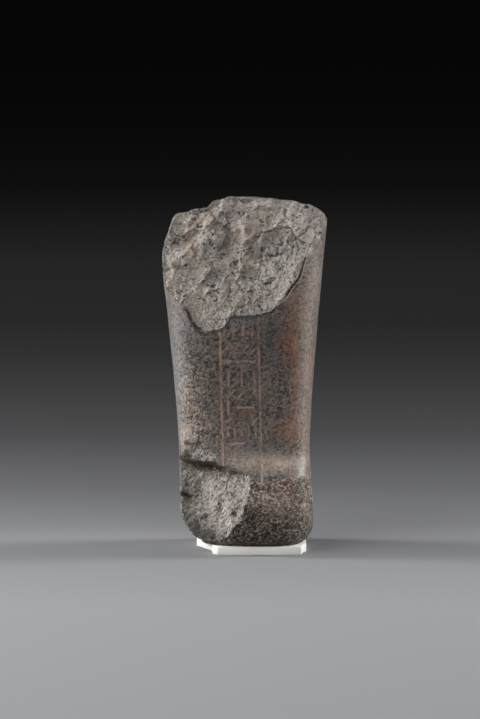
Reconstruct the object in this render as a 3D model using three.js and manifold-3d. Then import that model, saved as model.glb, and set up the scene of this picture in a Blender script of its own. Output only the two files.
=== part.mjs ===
// Lower part of a carved stone statuette wrapped like a mummy: the shins and the worn feet, with one
// incised column of strokes down the front. A slanting break takes off everything above the shins, and
// a chip takes off the left front of the feet. It stands on a thin pad cut to fit under the feet.
// Millimetres, +Z up, and the front faces -Y. The origin is on the floor under the middle of the work.
import * as THREE from "three";
import Module from "manifold-3d";

const wasm = await Module();
wasm.setup();

// Stone, overall
const STONE_HEIGHT = 121; // underside of the feet to the highest point of the broken rim
const PAD_THICKNESS = 3;

// Legs at the top of the fragment: half width, and depth before and behind the axis
const KNEE_HALF_WIDTH = 31.2;
const KNEE_FRONT = 20.5;
const KNEE_BACK = 20.5;

// Ankles, the narrowest place
const ANKLE_RISE = 33;
const ANKLE_HALF_WIDTH = 23.4;
const ANKLE_FRONT = 16.6;
const ANKLE_BACK = 15;

// Feet, wrapped in one block
const TOE_RISE = 13;
const FOOT_HALF_WIDTH = 23.7;
const FOOT_FRONT = 25;
const FOOT_BACK = 16;
const FOOT_SHIFT = 0.5; // sideways, of the feet's middle
const SOLE_ROUNDING = 5; // worn edge of the sole
const CORNER_ROUNDING = 12; // the same at the left front corner, where it is worn most

const FLARE = 1.3; // how the legs widen upwards: 1 is straight, more keeps the ankles slim for longer
const LEAN = 0.011; // sideways shift of the axis for each millimetre of height
const KNEE_SQUARENESS = 2.6; // 2 is an ellipse, more is a rounded rectangle
const ANKLE_SQUARENESS = 3.2;

// Incised column
const COLUMN_HALF_WIDTH = 6.8;
const COLUMN_SHIFT = -0.9; // from the axis, at the ankles
const COLUMN_LEAN = 0.024;
const BORDER_WIDTH = 0.8;
const BORDER_DEPTH = 0.45;
const STROKE_WIDTH = 0.7;
const STROKE_DEPTH = 0.35;

// Fineness of the faces
const COLUMNS = 84;
const FRONT_CROWDING = 0.32; // how much closer the columns stand at the front than at the back
const LOWER_ROWS = 15;
const UPPER_ROWS = 8;
const SOLE_CROWDING = 1.2; // above 1, the lower rows stand closer near the sole
const BREAK_RINGS = 21;
const BREAK_COLUMNS = 124;
const SCAR_RINGS = 9;
const NOTCH_RINGS = 3;
const CUTTER_CELL = 2;
const GROOVE_STEP = 3.5;

const DEGREE = Math.PI / 180;

const clamp = (value, low, high) => Math.min(high, Math.max(low, value));
const mix = (a, b, share) => a + (b - a) * share;

function smoothstep(from, to, value) {
  const t = clamp((value - from) / (to - from), 0, 1);
  return t * t * (3 - 2 * t);
}

// Places on the stone seen from the front are [across, up], as shares of the knee's half width and of the
// stone's height. Reaches, depths and the like in the lists of carving are shares of the stone's height.
const place = ([across, up]) => new THREE.Vector2(across * KNEE_HALF_WIDTH, up * STONE_HEIGHT);
const size = (share) => share * STONE_HEIGHT;

// Repeatable value noise between -1 and 1
function lattice(i, j) {
  const s = Math.sin(i * 127.1 + j * 311.7) * 43758.5453;
  return 2 * (s - Math.floor(s)) - 1;
}

function noise(x, y) {
  const [i, j] = [Math.floor(x), Math.floor(y)];
  const [u, v] = [smoothstep(0, 1, x - i), smoothstep(0, 1, y - j)];
  const low = mix(lattice(i, j), lattice(i + 1, j), u);
  const high = mix(lattice(i, j + 1), lattice(i + 1, j + 1), u);
  return mix(low, high, v);
}

const ROUGHNESS = [
  { wave: 0.074, depth: 0.004 },
  { wave: 0.029, depth: 0.003 },
];

function roughness(x, height) {
  const layer = ({ wave, depth }) => size(depth) * noise(x / size(wave), height / size(wave));
  return ROUGHNESS.reduce((sum, each) => sum + layer(each), 0);
}

// Body: every level is a superellipse about the axis. Heights are over the sole.
function flare(height, foot, ankle, knee) {
  if (height < ANKLE_RISE) return mix(ankle, foot, smoothstep(ANKLE_RISE, TOE_RISE, height));
  const share = (height - ANKLE_RISE) / (STONE_HEIGHT - ANKLE_RISE);
  return ankle + (knee - ankle) * share ** FLARE;
}

const halfWidth = (height) => flare(height, FOOT_HALF_WIDTH, ANKLE_HALF_WIDTH, KNEE_HALF_WIDTH);
const frontDepth = (height) => flare(height, FOOT_FRONT, ANKLE_FRONT, KNEE_FRONT);
const backDepth = (height) => flare(height, FOOT_BACK, ANKLE_BACK, KNEE_BACK);
const footShift = (height) => FOOT_SHIFT * smoothstep(ANKLE_RISE, TOE_RISE, height);
const axisX = (height) => footShift(height) - LEAN * (height - ANKLE_RISE);

function squareness(height) {
  const share = clamp((height - ANKLE_RISE) / (STONE_HEIGHT - ANKLE_RISE), 0, 1);
  return mix(ANKLE_SQUARENESS, KNEE_SQUARENESS, share);
}

// Rounding of the sole: how far its edge draws in, by height and direction
const WORN_DIRECTION = 200 * DEGREE;
const WORN_SPREAD = 50 * DEGREE;
const ROUNDING_SHARE = 0.94; // of the quarter circle; the rest is lost in the flat sole

function soleInset(height, direction) {
  const away = (direction - WORN_DIRECTION) / WORN_SPREAD;
  const radius = mix(SOLE_ROUNDING, CORNER_ROUNDING, Math.exp(-away * away));
  const below = clamp(1 - height / radius, 0, ROUNDING_SHARE);
  return radius * (1 - Math.sqrt(1 - below ** 2));
}

function bodyPoint(direction, height) {
  const [c, s] = [Math.cos(direction), Math.sin(direction)];
  const p = squareness(height);
  const depth = s < 0 ? frontDepth(height) : backDepth(height);
  const reach = (Math.abs(c / halfWidth(height)) ** p + Math.abs(s / depth) ** p) ** (-1 / p);
  const r = reach - soleInset(height, direction);
  return new THREE.Vector3(axisX(height) + r * c, r * s, height);
}

// The same surface by distance across and height: its depth as a share of the greatest at that height
function fullness(x, height) {
  const p = squareness(height);
  const share = Math.min(1, Math.abs((x - axisX(height)) / halfWidth(height)));
  return (1 - share ** p) ** (1 / p);
}

const frontY = (x, height) => -frontDepth(height) * fullness(x, height);
const backY = (x, height) => backDepth(height) * fullness(x, height);

// Rim of the break: [direction in degrees, height as a share of the stone's], from the right round the back
const BREAK_RIM = [
  [0, 0.937], [10, 0.947], [20, 0.96], [32, 0.979], [40, 0.985], [56, 0.99], [77, 0.999], [89, 1],
  [104, 0.995], [116, 0.99], [122, 0.974], [130, 0.964], [140, 0.959], [149, 0.945], [157, 0.89],
  [168, 0.84], [180, 0.785], [196, 0.748], [210, 0.709], [217, 0.685], [224, 0.638], [232, 0.621],
  [240, 0.634], [250, 0.648], [257, 0.674], [268, 0.681], [278, 0.677], [298, 0.687], [310, 0.716],
  [317, 0.757], [323, 0.78], [327, 0.84], [331, 0.885], [341, 0.915], [350, 0.93], [360, 0.937],
];

function rimHeight(direction) {
  const degrees = ((direction / DEGREE) % 360 + 360) % 360;
  const next = BREAK_RIM.findIndex(([at]) => at > degrees);
  const [[from, low], [to, high]] = [BREAK_RIM[next - 1], BREAK_RIM[next]];
  return STONE_HEIGHT * mix(low, high, (degrees - from) / (to - from));
}

// Relief of the break. Scars are shallow bowls, crests are ridges, and a ledge drops on its path's right.
const SCARS = [
  { at: [0.06, 0.823], reach: [0.132, 0.091], depth: 0.0157 },
  { at: [0.12, 0.847], reach: [0.05, 0.037], depth: 0.024 },
  { at: [-0.66, 0.874], reach: [0.045, 0.041], depth: 0.019 },
  { at: [0.45, 0.869], reach: [0.074, 0.045], depth: 0.0215 },
  { at: [-0.45, 0.682], reach: [0.07, 0.079], depth: 0.0107 },
  { at: [-0.72, 0.79], reach: [0.058, 0.066], depth: 0.0066 },
  { at: [0.3, 0.73], reach: [0.116, 0.066], depth: 0.0041 },
];
const BETWEEN_SCARS = -0.005;

const CRESTS = [
  {
    path: [[-0.83, 0.82], [-0.715, 0.837], [-0.543, 0.869], [-0.475, 0.903], [-0.35, 0.93]],
    rise: 0.0132,
    reach: 0.0215,
  },
  { path: [[-0.9, 0.879], [-0.76, 0.89], [-0.7, 0.922], [-0.62, 0.951]], rise: 0.009, reach: 0.018 },
];

const LEDGES = [
  {
    path: [[0.2, 0.903], [0.29, 0.914], [0.41, 0.922], [0.53, 0.919], [0.66, 0.882], [0.73, 0.878]],
    drop: 0.015,
    reach: 0.041,
  },
  { path: [[-0.37, 0.919], [-0.3, 0.93], [-0.23, 0.927], [-0.18, 0.914]], drop: 0.01, reach: 0.033 },
  { path: [[-0.28, 0.85], [-0.22, 0.869], [-0.23, 0.895]], drop: 0.01, reach: 0.033 },
];

const EDGE_CALM = 0.025; // the relief fades in over this distance from the rim
const THIN_EDGE = 0.0125; // the least thickness left between the break and the back

// Distance from a spot to a path of straight stretches, with its sign: positive on the path's right
function besidePath(spot, path) {
  let nearest = Infinity;
  let side = 1;
  for (let i = 1; i < path.length; i++) {
    const [from, to] = [place(path[i - 1]), place(path[i])];
    const along = to.clone().sub(from);
    const out = spot.clone().sub(from);
    const share = clamp(out.dot(along) / along.lengthSq(), 0, 1);
    const distance = out.distanceTo(along.clone().multiplyScalar(share));
    if (distance < nearest) {
      nearest = distance;
      side = out.cross(along) >= 0 ? 1 : -1;
    }
  }
  return nearest * side;
}

function breakRelief(x, height) {
  const spot = new THREE.Vector2(x, height);
  let depth = BETWEEN_SCARS;
  for (const scar of SCARS) {
    const out = spot.clone().sub(place(scar.at));
    const away = (out.x / size(scar.reach[0])) ** 2 + (out.y / size(scar.reach[1])) ** 2;
    depth = Math.max(depth, scar.depth * (1 - away));
  }
  for (const crest of CRESTS) {
    depth -= crest.rise * Math.max(0, 1 - Math.abs(besidePath(spot, crest.path)) / size(crest.reach));
  }
  for (const ledge of LEDGES) {
    const below = besidePath(spot, ledge.path);
    if (below > 0) depth += ledge.drop * Math.max(0, 1 - below / size(ledge.reach));
  }
  return size(depth) + roughness(x, height);
}

// Depth of a smooth film stretched over a closed loop, by mean value coordinates
function filmDepth(loop, x, height) {
  const arms = loop.map((p) => new THREE.Vector2(p.x - x, p.z - height));
  const halfTangents = arms.map((arm, i) => {
    const next = arms[(i + 1) % arms.length];
    return Math.tan(Math.atan2(arm.cross(next), arm.dot(next)) / 2);
  });
  let [sum, weights] = [0, 0];
  loop.forEach((p, i) => {
    const weight = (halfTangents.at(i - 1) + halfTangents[i]) / arms[i].length();
    sum += weight * p.y;
    weights += weight;
  });
  return sum / weights;
}

// Surface of triangles that becomes a solid. Rings run anticlockwise seen from the outside of their end.
class Surface {
  constructor() {
    this.points = [];
    this.triangles = [];
  }
  add(point) {
    return this.points.push(point) - 1;
  }
  // Strip between two closed rings of any two counts
  strip(lower, upper) {
    const [n, m] = [lower.length, upper.length];
    let [i, j] = [0, 0];
    while (i < n || j < m) {
      const [a, b] = [lower[i % n], upper[j % m]];
      if (j >= m || (i < n && (i + 1) / n <= (j + 1) / m)) {
        this.triangles.push(a, lower[++i % n], b);
      } else {
        this.triangles.push(a, upper[++j % m], b);
      }
    }
  }
  fan(ring, centre) {
    ring.forEach((a, i) => this.triangles.push(a, ring[(i + 1) % ring.length], centre));
  }
  // Ever smaller rings from a ring to a middle point. Each new vertex is made by onSurface(x, height,
  // distance from the loop).
  close(ring, loop, rings, count, onSurface) {
    const middle = loop.reduce((sum, p) => sum.add(p), new THREE.Vector3()).divideScalar(loop.length);
    let outer = ring;
    for (let k = 1; k < rings; k++) {
      const shrink = 1 - k / rings;
      const points = Math.max(5, Math.round(count * shrink));
      const inner = Array.from({ length: points }, (_, i) => {
        const edge = alongLoop(loop, i / points);
        const p = edge.clone().lerp(middle, 1 - shrink);
        return this.add(onSurface(p.x, p.z, p.distanceTo(edge)));
      });
      this.strip(outer, inner);
      outer = inner;
    }
    this.fan(outer, this.add(onSurface(middle.x, middle.z, Infinity)));
  }
  solid() {
    return new wasm.Manifold(new wasm.Mesh({
      numProp: 3,
      vertProperties: Float32Array.from(this.points.flatMap((p) => p.toArray())),
      triVerts: Uint32Array.from(this.triangles),
    }));
  }
}

// Point at a share of the way round a closed loop
function alongLoop(loop, share) {
  const at = share * loop.length;
  const i = Math.floor(at);
  return loop[i % loop.length].clone().lerp(loop[(i + 1) % loop.length], at - i);
}

// The body is a tube from the sole to the rim, closed by a flat sole and by the break
function brokenBody() {
  const surface = new Surface();
  const directions = Array.from({ length: COLUMNS }, (_, i) => {
    const turn = (2 * Math.PI * i) / COLUMNS;
    return turn + FRONT_CROWDING * (1 - Math.cos(turn));
  });
  const rows = Array.from({ length: LOWER_ROWS + UPPER_ROWS + 1 }, (_, row) => {
    const lower = Math.min(1, row / LOWER_ROWS) ** SOLE_CROWDING;
    const upper = Math.max(0, row - LOWER_ROWS) / UPPER_ROWS;
    return directions.map((direction) => {
      const height = mix(ANKLE_RISE * lower, rimHeight(direction), upper);
      return surface.add(bodyPoint(direction, height));
    });
  });
  rows.slice(1).forEach((ring, i) => surface.strip(rows[i], ring));
  surface.fan(rows[0].toReversed(), surface.add(new THREE.Vector3(0, (FOOT_BACK - FOOT_FRONT) / 2, 0)));

  const rim = rows.at(-1);
  const loop = rim.map((i) => surface.points[i]);
  surface.close(rim, loop, BREAK_RINGS, BREAK_COLUMNS, (x, height, inwards) => {
    const relief = breakRelief(x, height) * smoothstep(0, size(EDGE_CALM), inwards);
    const deepest = backY(x, height) - size(THIN_EDGE);
    return new THREE.Vector3(x, Math.min(filmDepth(loop, x, height) + relief, deepest), height);
  });
  return surface.solid();
}

// Solid that cuts away everything in front of a depth, inside an outline of places
function cutter(outline, rings, depthAt) {
  const inFront = -2 * FOOT_FRONT;
  const loop = outline.flatMap((spot, i) => {
    const [from, to] = [place(spot), place(outline[(i + 1) % outline.length])];
    const steps = Math.max(1, Math.round(from.distanceTo(to) / CUTTER_CELL));
    return Array.from({ length: steps }, (_, k) => {
      const p = from.clone().lerp(to, k / steps);
      return new THREE.Vector3(p.x, inFront, p.y);
    });
  });
  const surface = new Surface();
  const onCut = (x, height) => new THREE.Vector3(x, depthAt(x, height), height);
  const front = loop.map((p) => surface.add(p));
  const back = loop.map((p) => surface.add(onCut(p.x, p.z)));
  surface.strip(front, back);
  surface.close(front.toReversed(), loop, 1, 0, (x, height) => new THREE.Vector3(x, inFront, height));
  surface.close(back, loop, rings, loop.length, onCut);
  return surface.solid();
}

// Chip at the left front of the feet, in two cuts: a long scar that falls back from a crest at its right
// to the left side, and a shallow notch over its brow. The outlines run clockwise, past the silhouette
// on the left and, for the scar, under the sole.
const SCAR_FLANK = [[-0.95, -0.03], [-0.95, 0.1]];
const SCAR_BROW = [
  [-0.95, 0.25], [-0.7, 0.242], [-0.55, 0.236], [-0.37, 0.228], [-0.26, 0.216], [-0.12, 0.222],
];
const SCAR_CREST = [
  [0, 0.21], [0.045, 0.19], [0.035, 0.155], [-0.016, 0.12], [-0.055, 0.092], [-0.11, 0.055],
  [-0.17, -0.03],
];
const SCAR_SLOPE = 0.7; // how fast the scar falls back towards the left
const BROW_STEP = 0.01; // depth of the scar right under its brow
const BROW_REACH = 0.037; // height over which it deepens from there, as an overhang
const SCAR_CALM = 0.025; // its unevenness fades in over this distance from the crest
const SCAR_UNEVENNESS = 0.5; // as a share of the roughness of the break
const STREAK = { lean: 60 * DEGREE, across: 0.0215, along: 0.124, depth: 0.004 };

const NOTCH_OUTLINE = [
  [-0.5, 0.2], [-0.95, 0.22], [-0.95, 0.25], [-0.76, 0.256], [-0.655, 0.275], [-0.645, 0.303],
  [-0.54, 0.298], [-0.38, 0.284], [-0.35, 0.262], [-0.29, 0.243], [-0.2, 0.224],
];
const NOTCH_EDGE = -0.36; // across, where the notch's face starts
const NOTCH_STEP = 0.0066; // how far it starts behind the skin
const NOTCH_SLOPE = 0.62;

function crestX(height) {
  const up = height / STONE_HEIGHT;
  const next = clamp(SCAR_CREST.findIndex(([, at]) => at <= up), 1, SCAR_CREST.length - 1);
  const [[x0, y0], [x1, y1]] = [SCAR_CREST[next - 1], SCAR_CREST[next]];
  return KNEE_HALF_WIDTH * mix(x0, x1, clamp((up - y0) / (y1 - y0), 0, 1));
}

function browHeight(x) {
  const line = [...SCAR_BROW, SCAR_CREST[0]];
  const across = x / KNEE_HALF_WIDTH;
  const next = clamp(line.findIndex(([at]) => at > across), 1, line.length - 1);
  const [[x0, y0], [x1, y1]] = [line[next - 1], line[next]];
  return size(mix(y0, y1, clamp((across - x0) / (x1 - x0), 0, 1)));
}

function streaks(x, height) {
  const [c, s] = [Math.cos(STREAK.lean), Math.sin(STREAK.lean)];
  const [across, along] = [x * s - height * c, x * c + height * s];
  return size(STREAK.depth) * noise(across / size(STREAK.across), along / size(STREAK.along));
}

function scarY(x, height) {
  const level = Math.max(0, height);
  const leftwards = Math.max(0, crestX(level) - x);
  const uneven = streaks(x, level) + SCAR_UNEVENNESS * roughness(x, level);
  const fade = smoothstep(0, size(SCAR_CALM), leftwards);
  const scar = frontY(crestX(level), level) + SCAR_SLOPE * leftwards + uneven * fade;
  const overhang = Math.min(scar, frontY(x, level) + size(BROW_STEP));
  return mix(overhang, scar, smoothstep(0, size(BROW_REACH), browHeight(x) - level));
}

function notchY(x, height) {
  const edge = NOTCH_EDGE * KNEE_HALF_WIDTH;
  return frontY(edge, height) + size(NOTCH_STEP) + NOTCH_SLOPE * Math.max(0, edge - x);
}

// Wedge that cuts one incised line into the front, between two spots in millimetres
function groove(from, to, width, depth) {
  const steps = Math.max(1, Math.round(from.distanceTo(to) / GROOVE_STEP));
  const along = to.clone().sub(from).normalize();
  const across = new THREE.Vector3(along.y, 0, -along.x);
  const out = new THREE.Vector3(0, -depth, 0);
  const surface = new Surface();
  const rings = Array.from({ length: steps + 1 }, (_, k) => {
    const p = from.clone().lerp(to, k / steps);
    const skin = new THREE.Vector3(p.x, frontY(p.x, p.y), p.y);
    const lip = (side) => skin.clone().add(out).addScaledVector(across, side * width);
    return [lip(1), skin.clone().sub(out), lip(-1)].map((v) => surface.add(v));
  });
  rings.slice(1).forEach((ring, i) => surface.strip(rings[i], ring));
  surface.triangles.push(...rings[0].toReversed(), ...rings.at(-1));
  return surface.solid();
}

// Rows of strokes in the column, from the top down: each row's place, its height, and its marks, all as
// shares of the stone's height. A mark is [kind, count, left end, right end], with the ends as shares of
// the column's half width.
const ROWS = [
  { at: 0.637, tall: 0.035, marks: [["upright", 4, -0.75, 0.7]] },
  { at: 0.577, tall: 0.028, marks: [["slant", 4, -0.75, 0.75]] },
  { at: 0.544, tall: 0, marks: [["bar", 1, -0.85, 0.8]] },
  { at: 0.493, tall: 0.045, marks: [["upright", 3, -0.6, 0.75]] },
  { at: 0.446, tall: 0.021, marks: [["slant", 3, -0.5, 0.6]] },
  { at: 0.407, tall: 0.035, marks: [["upright", 1, -0.65, -0.65], ["bar", 1, -0.15, 0.65]] },
  { at: 0.368, tall: 0.015, marks: [["slant", 2, -0.7, 0.75]] },
  { at: 0.335, tall: 0.023, marks: [["upright", 5, -0.7, 0.75]] },
  { at: 0.299, tall: 0, marks: [["bar", 1, -0.7, 0.1]] },
  { at: 0.252, tall: 0, marks: [["bar", 1, -0.45, 0.6]] },
];
const SLANT = 0.45; // sideways reach of half a slanting stroke, as a share of its row's height
const BORDER_TOP = 0.71; // over the rim
const BORDER_FOOT = 0.165; // down on the feet

const columnX = (height) => COLUMN_SHIFT - COLUMN_LEAN * (height - ANKLE_RISE);

// Spot in the column by its share across and its height
const inColumn = (across, height) =>
  new THREE.Vector2(columnX(height) + across * COLUMN_HALF_WIDTH, height);

function mark(kind, share, height, tall, left, right) {
  if (kind === "bar") return [inColumn(left, height), inColumn(right, height)];
  const reach = new THREE.Vector2(kind === "slant" ? SLANT * tall : 0, tall / 2);
  const middle = inColumn(share, height);
  return [middle.clone().sub(reach), middle.clone().add(reach)];
}

function strokes() {
  const cutMark = (row, [kind, count, left, right]) =>
    Array.from({ length: count }, (_, i) => {
      const share = count > 1 ? mix(left, right, i / (count - 1)) : left;
      const [from, to] = mark(kind, share, size(row.at), size(row.tall), left, right);
      return groove(from, to, STROKE_WIDTH, STROKE_DEPTH);
    });
  return ROWS.flatMap((row) => row.marks.flatMap((each) => cutMark(row, each)));
}

function borders() {
  const end = (side, up) => inColumn(side, size(up));
  return [-1, 1].map((side) =>
    groove(end(side, BORDER_FOOT), end(side, BORDER_TOP), BORDER_WIDTH, BORDER_DEPTH));
}

function stoneGeometry() {
  const scar = cutter([...SCAR_FLANK, ...SCAR_BROW, ...SCAR_CREST], SCAR_RINGS, scarY);
  const notch = cutter(NOTCH_OUTLINE, NOTCH_RINGS, notchY);
  const cuts = [...borders(), ...strokes(), notch, scar];
  const made = cuts.reduce((body, cut) => body.subtract(cut), brokenBody()).getMesh();
  const geometry = new THREE.BufferGeometry();
  geometry.setAttribute("position", new THREE.BufferAttribute(made.vertProperties, 3));
  geometry.setIndex(new THREE.BufferAttribute(made.triVerts, 1));
  geometry.computeVertexNormals();
  return geometry;
}

// Outline of the pad: [across, back] as shares of the feet's half width and of their depth on that side
const PAD_OUTLINE = [
  [-0.47, -0.82], [-0.4, -0.88], [0, -0.93], [0.5, -0.92], [0.86, -0.86], [0.89, -0.66], [0.93, -0.6],
  [0.93, -0.1], [0.8, 0.62], [0.5, 0.84], [-0.45, 0.84], [-0.7, 0.47], [-0.72, -0.08], [-0.49, -0.54],
];

function padGeometry() {
  const corners = PAD_OUTLINE.map(([across, back]) =>
    new THREE.Vector2(across * FOOT_HALF_WIDTH, back * (back < 0 ? FOOT_FRONT : FOOT_BACK)));
  return new THREE.ExtrudeGeometry(new THREE.Shape(corners), { depth: PAD_THICKNESS, bevelEnabled: false });
}

const stoneMaterial = new THREE.MeshStandardMaterial({ color: 0x5d534b, roughness: 0.6, metalness: 0 });
const padMaterial = new THREE.MeshStandardMaterial({ color: 0xe9e6df, roughness: 0.7, metalness: 0 });

const stone = new THREE.Mesh(stoneGeometry(), stoneMaterial);
stone.name = "stone_fragment";
stone.position.z = PAD_THICKNESS;

const pad = new THREE.Mesh(padGeometry(), padMaterial);
pad.name = "fitted_pad";

const work = new THREE.Group();
work.add(stone, pad);
const extent = new THREE.Box3().setFromObject(work);
work.position.set(-(extent.min.x + extent.max.x) / 2, -(extent.min.y + extent.max.y) / 2, 0);

const fragment = new THREE.Group();
fragment.add(work);

export default fragment;
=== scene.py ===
import math

import bpy
import numpy as np
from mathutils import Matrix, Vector


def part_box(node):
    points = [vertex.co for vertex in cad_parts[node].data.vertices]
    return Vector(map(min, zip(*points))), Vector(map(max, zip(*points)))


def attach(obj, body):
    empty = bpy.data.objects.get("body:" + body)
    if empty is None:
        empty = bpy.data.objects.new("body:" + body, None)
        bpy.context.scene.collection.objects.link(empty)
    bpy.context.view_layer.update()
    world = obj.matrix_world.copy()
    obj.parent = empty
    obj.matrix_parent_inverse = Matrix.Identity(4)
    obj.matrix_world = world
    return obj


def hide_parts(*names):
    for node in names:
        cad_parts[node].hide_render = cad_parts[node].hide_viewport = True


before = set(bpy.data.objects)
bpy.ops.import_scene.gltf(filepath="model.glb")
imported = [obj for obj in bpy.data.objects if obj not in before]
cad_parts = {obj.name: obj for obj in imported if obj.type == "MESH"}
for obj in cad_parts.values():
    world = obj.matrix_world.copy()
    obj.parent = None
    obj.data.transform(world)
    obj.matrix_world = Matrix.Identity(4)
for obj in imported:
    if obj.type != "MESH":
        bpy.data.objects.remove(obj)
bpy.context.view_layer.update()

MILLIMETRE = 0.001

# Stone, overall
STONE_HEIGHT = 121
PAD_THICKNESS = 3
KNEE_HALF_WIDTH = 31.2
KNEE_FRONT = 20.5
KNEE_BACK = 20.5
ANKLE_RISE = 33
ANKLE_HALF_WIDTH = 23.4
ANKLE_FRONT = 16.6
ANKLE_BACK = 15
TOE_RISE = 13
FOOT_HALF_WIDTH = 23.7
FOOT_FRONT = 25
FOOT_BACK = 16
FOOT_SHIFT = 0.5
SOLE_ROUNDING = 5
CORNER_ROUNDING = 12
FLARE = 1.3
LEAN = 0.011
KNEE_SQUARENESS = 2.6
ANKLE_SQUARENESS = 3.2

# Incised column
COLUMN_HALF_WIDTH = 6.8
COLUMN_SHIFT = -0.9
COLUMN_LEAN = 0.024
BORDER_HALF_WIDTH = 0.36
BORDER_DEPTH = 0.3
STROKE_HALF_WIDTH = 0.36
STROKE_DEPTH = 0.22

# Fineness of the mesh
COLUMN_STEP = 0.26
FRONT_STEP = 0.44
BACK_STEP = 1.0
LOWER_ROWS = 96
UPPER_ROWS = 138
SOLE_CROWDING = 1.15
BREAK_STEP = 0.34


def clamp(value, low, high):
    return np.clip(value, low, high)


def mix(a, b, share):
    return a + (b - a) * share


def smoothstep(start, end, value):
    t = clamp((value - start) / (end - start), 0, 1)
    return t * t * (3 - 2 * t)


# Places on the stone seen from the front are (across, up), as shares of the knee's half width and of the
# stone's height. Reaches and depths in the lists of carving are shares of the stone's height.
def place(spot):
    return np.array([spot[0] * KNEE_HALF_WIDTH, spot[1] * STONE_HEIGHT])


def size(share):
    return share * STONE_HEIGHT


# Repeatable noise
HASH_AXES = np.array([127.1, 311.7, 74.7])
HASH_SEED = 19.19
HASH_STRETCH = 43758.5453
LAYER_FALL = 0.55  # strength of each finer layer of noise, as a share of the one before
SHELL_STEP = 0.5  # how much higher some round scars start than others
FACET_BORDER = 0.2  # width of the borders between facets, as a share of their size
PIT_LEAST = 0.55
PIT_SPREAD = 0.9  # sizes of the pits run from the least to this much more, as shares of their reach


def lattice(i, j):
    s = np.sin(i * HASH_AXES[0] + j * HASH_AXES[1]) * HASH_STRETCH
    return 2 * (s - np.floor(s)) - 1


def flat_noise(x, y):
    """Value noise between -1 and 1 over a plane."""
    i, j = np.floor(x), np.floor(y)
    u, v = smoothstep(0, 1, x - i), smoothstep(0, 1, y - j)
    low = mix(lattice(i, j), lattice(i + 1, j), u)
    high = mix(lattice(i, j + 1), lattice(i + 1, j + 1), u)
    return mix(low, high, v)


def scattered(cell, seed):
    """Random number between 0 and 1 for each whole cell of space."""
    s = np.sin(cell @ HASH_AXES + seed * HASH_SEED) * HASH_STRETCH
    return s - np.floor(s)


def solid_noise(points, wave, seed=0):
    """Value noise between -1 and 1 in space, with waves of one length."""
    scaled = points / wave
    cell = np.floor(scaled)
    t = scaled - cell
    t = t * t * (3 - 2 * t)
    total = np.zeros(len(points))
    for corner in np.ndindex(2, 2, 2):
        weight = np.prod(np.where(np.array(corner), t, 1 - t), axis=1)
        total += weight * (2 * scattered(cell + np.array(corner), seed) - 1)
    return total


def layered_noise(points, wave, layers, seed=0):
    total = np.zeros(len(points))
    strength = 1.0
    for layer in range(layers):
        total += strength * solid_noise(points, wave / 2 ** layer, seed + layer)
        strength *= LAYER_FALL
    return total


def neighbours(along, across, cell, seed):
    """For each of the nine cells round a place in a plane: the way there from the cell's random middle, how
    far a random slope has risen on that way, and a random level."""
    scaled = np.stack([along, across], axis=1) / cell
    corner = np.floor(scaled)
    for step in np.ndindex(3, 3):
        near = corner + np.array(step) - 1
        key = np.column_stack([near, np.full(len(near), seed)])
        out = scaled - (near + np.stack([scattered(key, 1), scattered(key, 2)], axis=1))
        turn = 2 * math.pi * scattered(key, 3)
        yield out, out[:, 0] * np.cos(turn) + out[:, 1] * np.sin(turn), scattered(key, 4)


def shells(along, across, cell, tilt, seed=0):
    """Overlapping round scars in a plane: highest in the middle of each, and lowest where they meet."""
    deepest = np.full(len(along), -np.inf)
    for out, slope, level in neighbours(along, across, cell, seed):
        deepest = np.maximum(deepest, SHELL_STEP * level + tilt * slope - (out ** 2).sum(axis=1))
    return deepest


def facets(along, across, cell, step, tilt, seed=0):
    """Flat faces side by side in a plane: their depth, and how close a place is to a border, up to 1."""
    nearest = np.full(len(along), np.inf)
    second = nearest.copy()
    depth = np.zeros(len(along))
    for out, slope, level in neighbours(along, across, cell, seed):
        away = np.linalg.norm(out, axis=1)
        depth = np.where(away < nearest, step * (level - 0.5) + tilt * cell * slope, depth)
        second = np.minimum(second, np.maximum(away, nearest))
        nearest = np.minimum(nearest, away)
    return depth, smoothstep(FACET_BORDER, 0, second - nearest)


def pits(points, spacing, share, reach, seed=0):
    """Small bowls scattered in space: 0 between them and 1 at the bottom of each."""
    scaled = points / spacing
    cell = np.floor(scaled)
    depth = np.zeros(len(points))
    for step in np.ndindex(3, 3, 3):
        near = cell + np.array(step) - 1
        middle = near + np.stack([scattered(near, seed + axis) for axis in (1, 2, 3)], axis=1)
        radius = reach * (PIT_LEAST + PIT_SPREAD * scattered(near, seed + 4))
        away = np.linalg.norm(scaled - middle, axis=1) / radius
        bowl = clamp(1 - away * away, 0, 1)
        depth = np.maximum(depth, np.where(scattered(near, seed) < share, bowl, 0))
    return depth


ROUGHNESS = [(0.074, 0.004), (0.029, 0.003)]  # wave and depth


def roughness(x, height):
    return sum(size(depth) * flat_noise(x / size(wave), height / size(wave)) for wave, depth in ROUGHNESS)


# Body: every level is a superellipse about the axis
def flare(height, foot, ankle, knee):
    share = clamp((height - ANKLE_RISE) / (STONE_HEIGHT - ANKLE_RISE), 0, None)
    over = ankle + (knee - ankle) * share ** FLARE
    return np.where(height < ANKLE_RISE, mix(ankle, foot, smoothstep(ANKLE_RISE, TOE_RISE, height)), over)


def half_width(height):
    return flare(height, FOOT_HALF_WIDTH, ANKLE_HALF_WIDTH, KNEE_HALF_WIDTH)


def front_depth(height):
    return flare(height, FOOT_FRONT, ANKLE_FRONT, KNEE_FRONT)


def back_depth(height):
    return flare(height, FOOT_BACK, ANKLE_BACK, KNEE_BACK)


def axis_x(height):
    return FOOT_SHIFT * smoothstep(ANKLE_RISE, TOE_RISE, height) - LEAN * (height - ANKLE_RISE)


def squareness(height):
    share = clamp((height - ANKLE_RISE) / (STONE_HEIGHT - ANKLE_RISE), 0, 1)
    return mix(ANKLE_SQUARENESS, KNEE_SQUARENESS, share)


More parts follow.
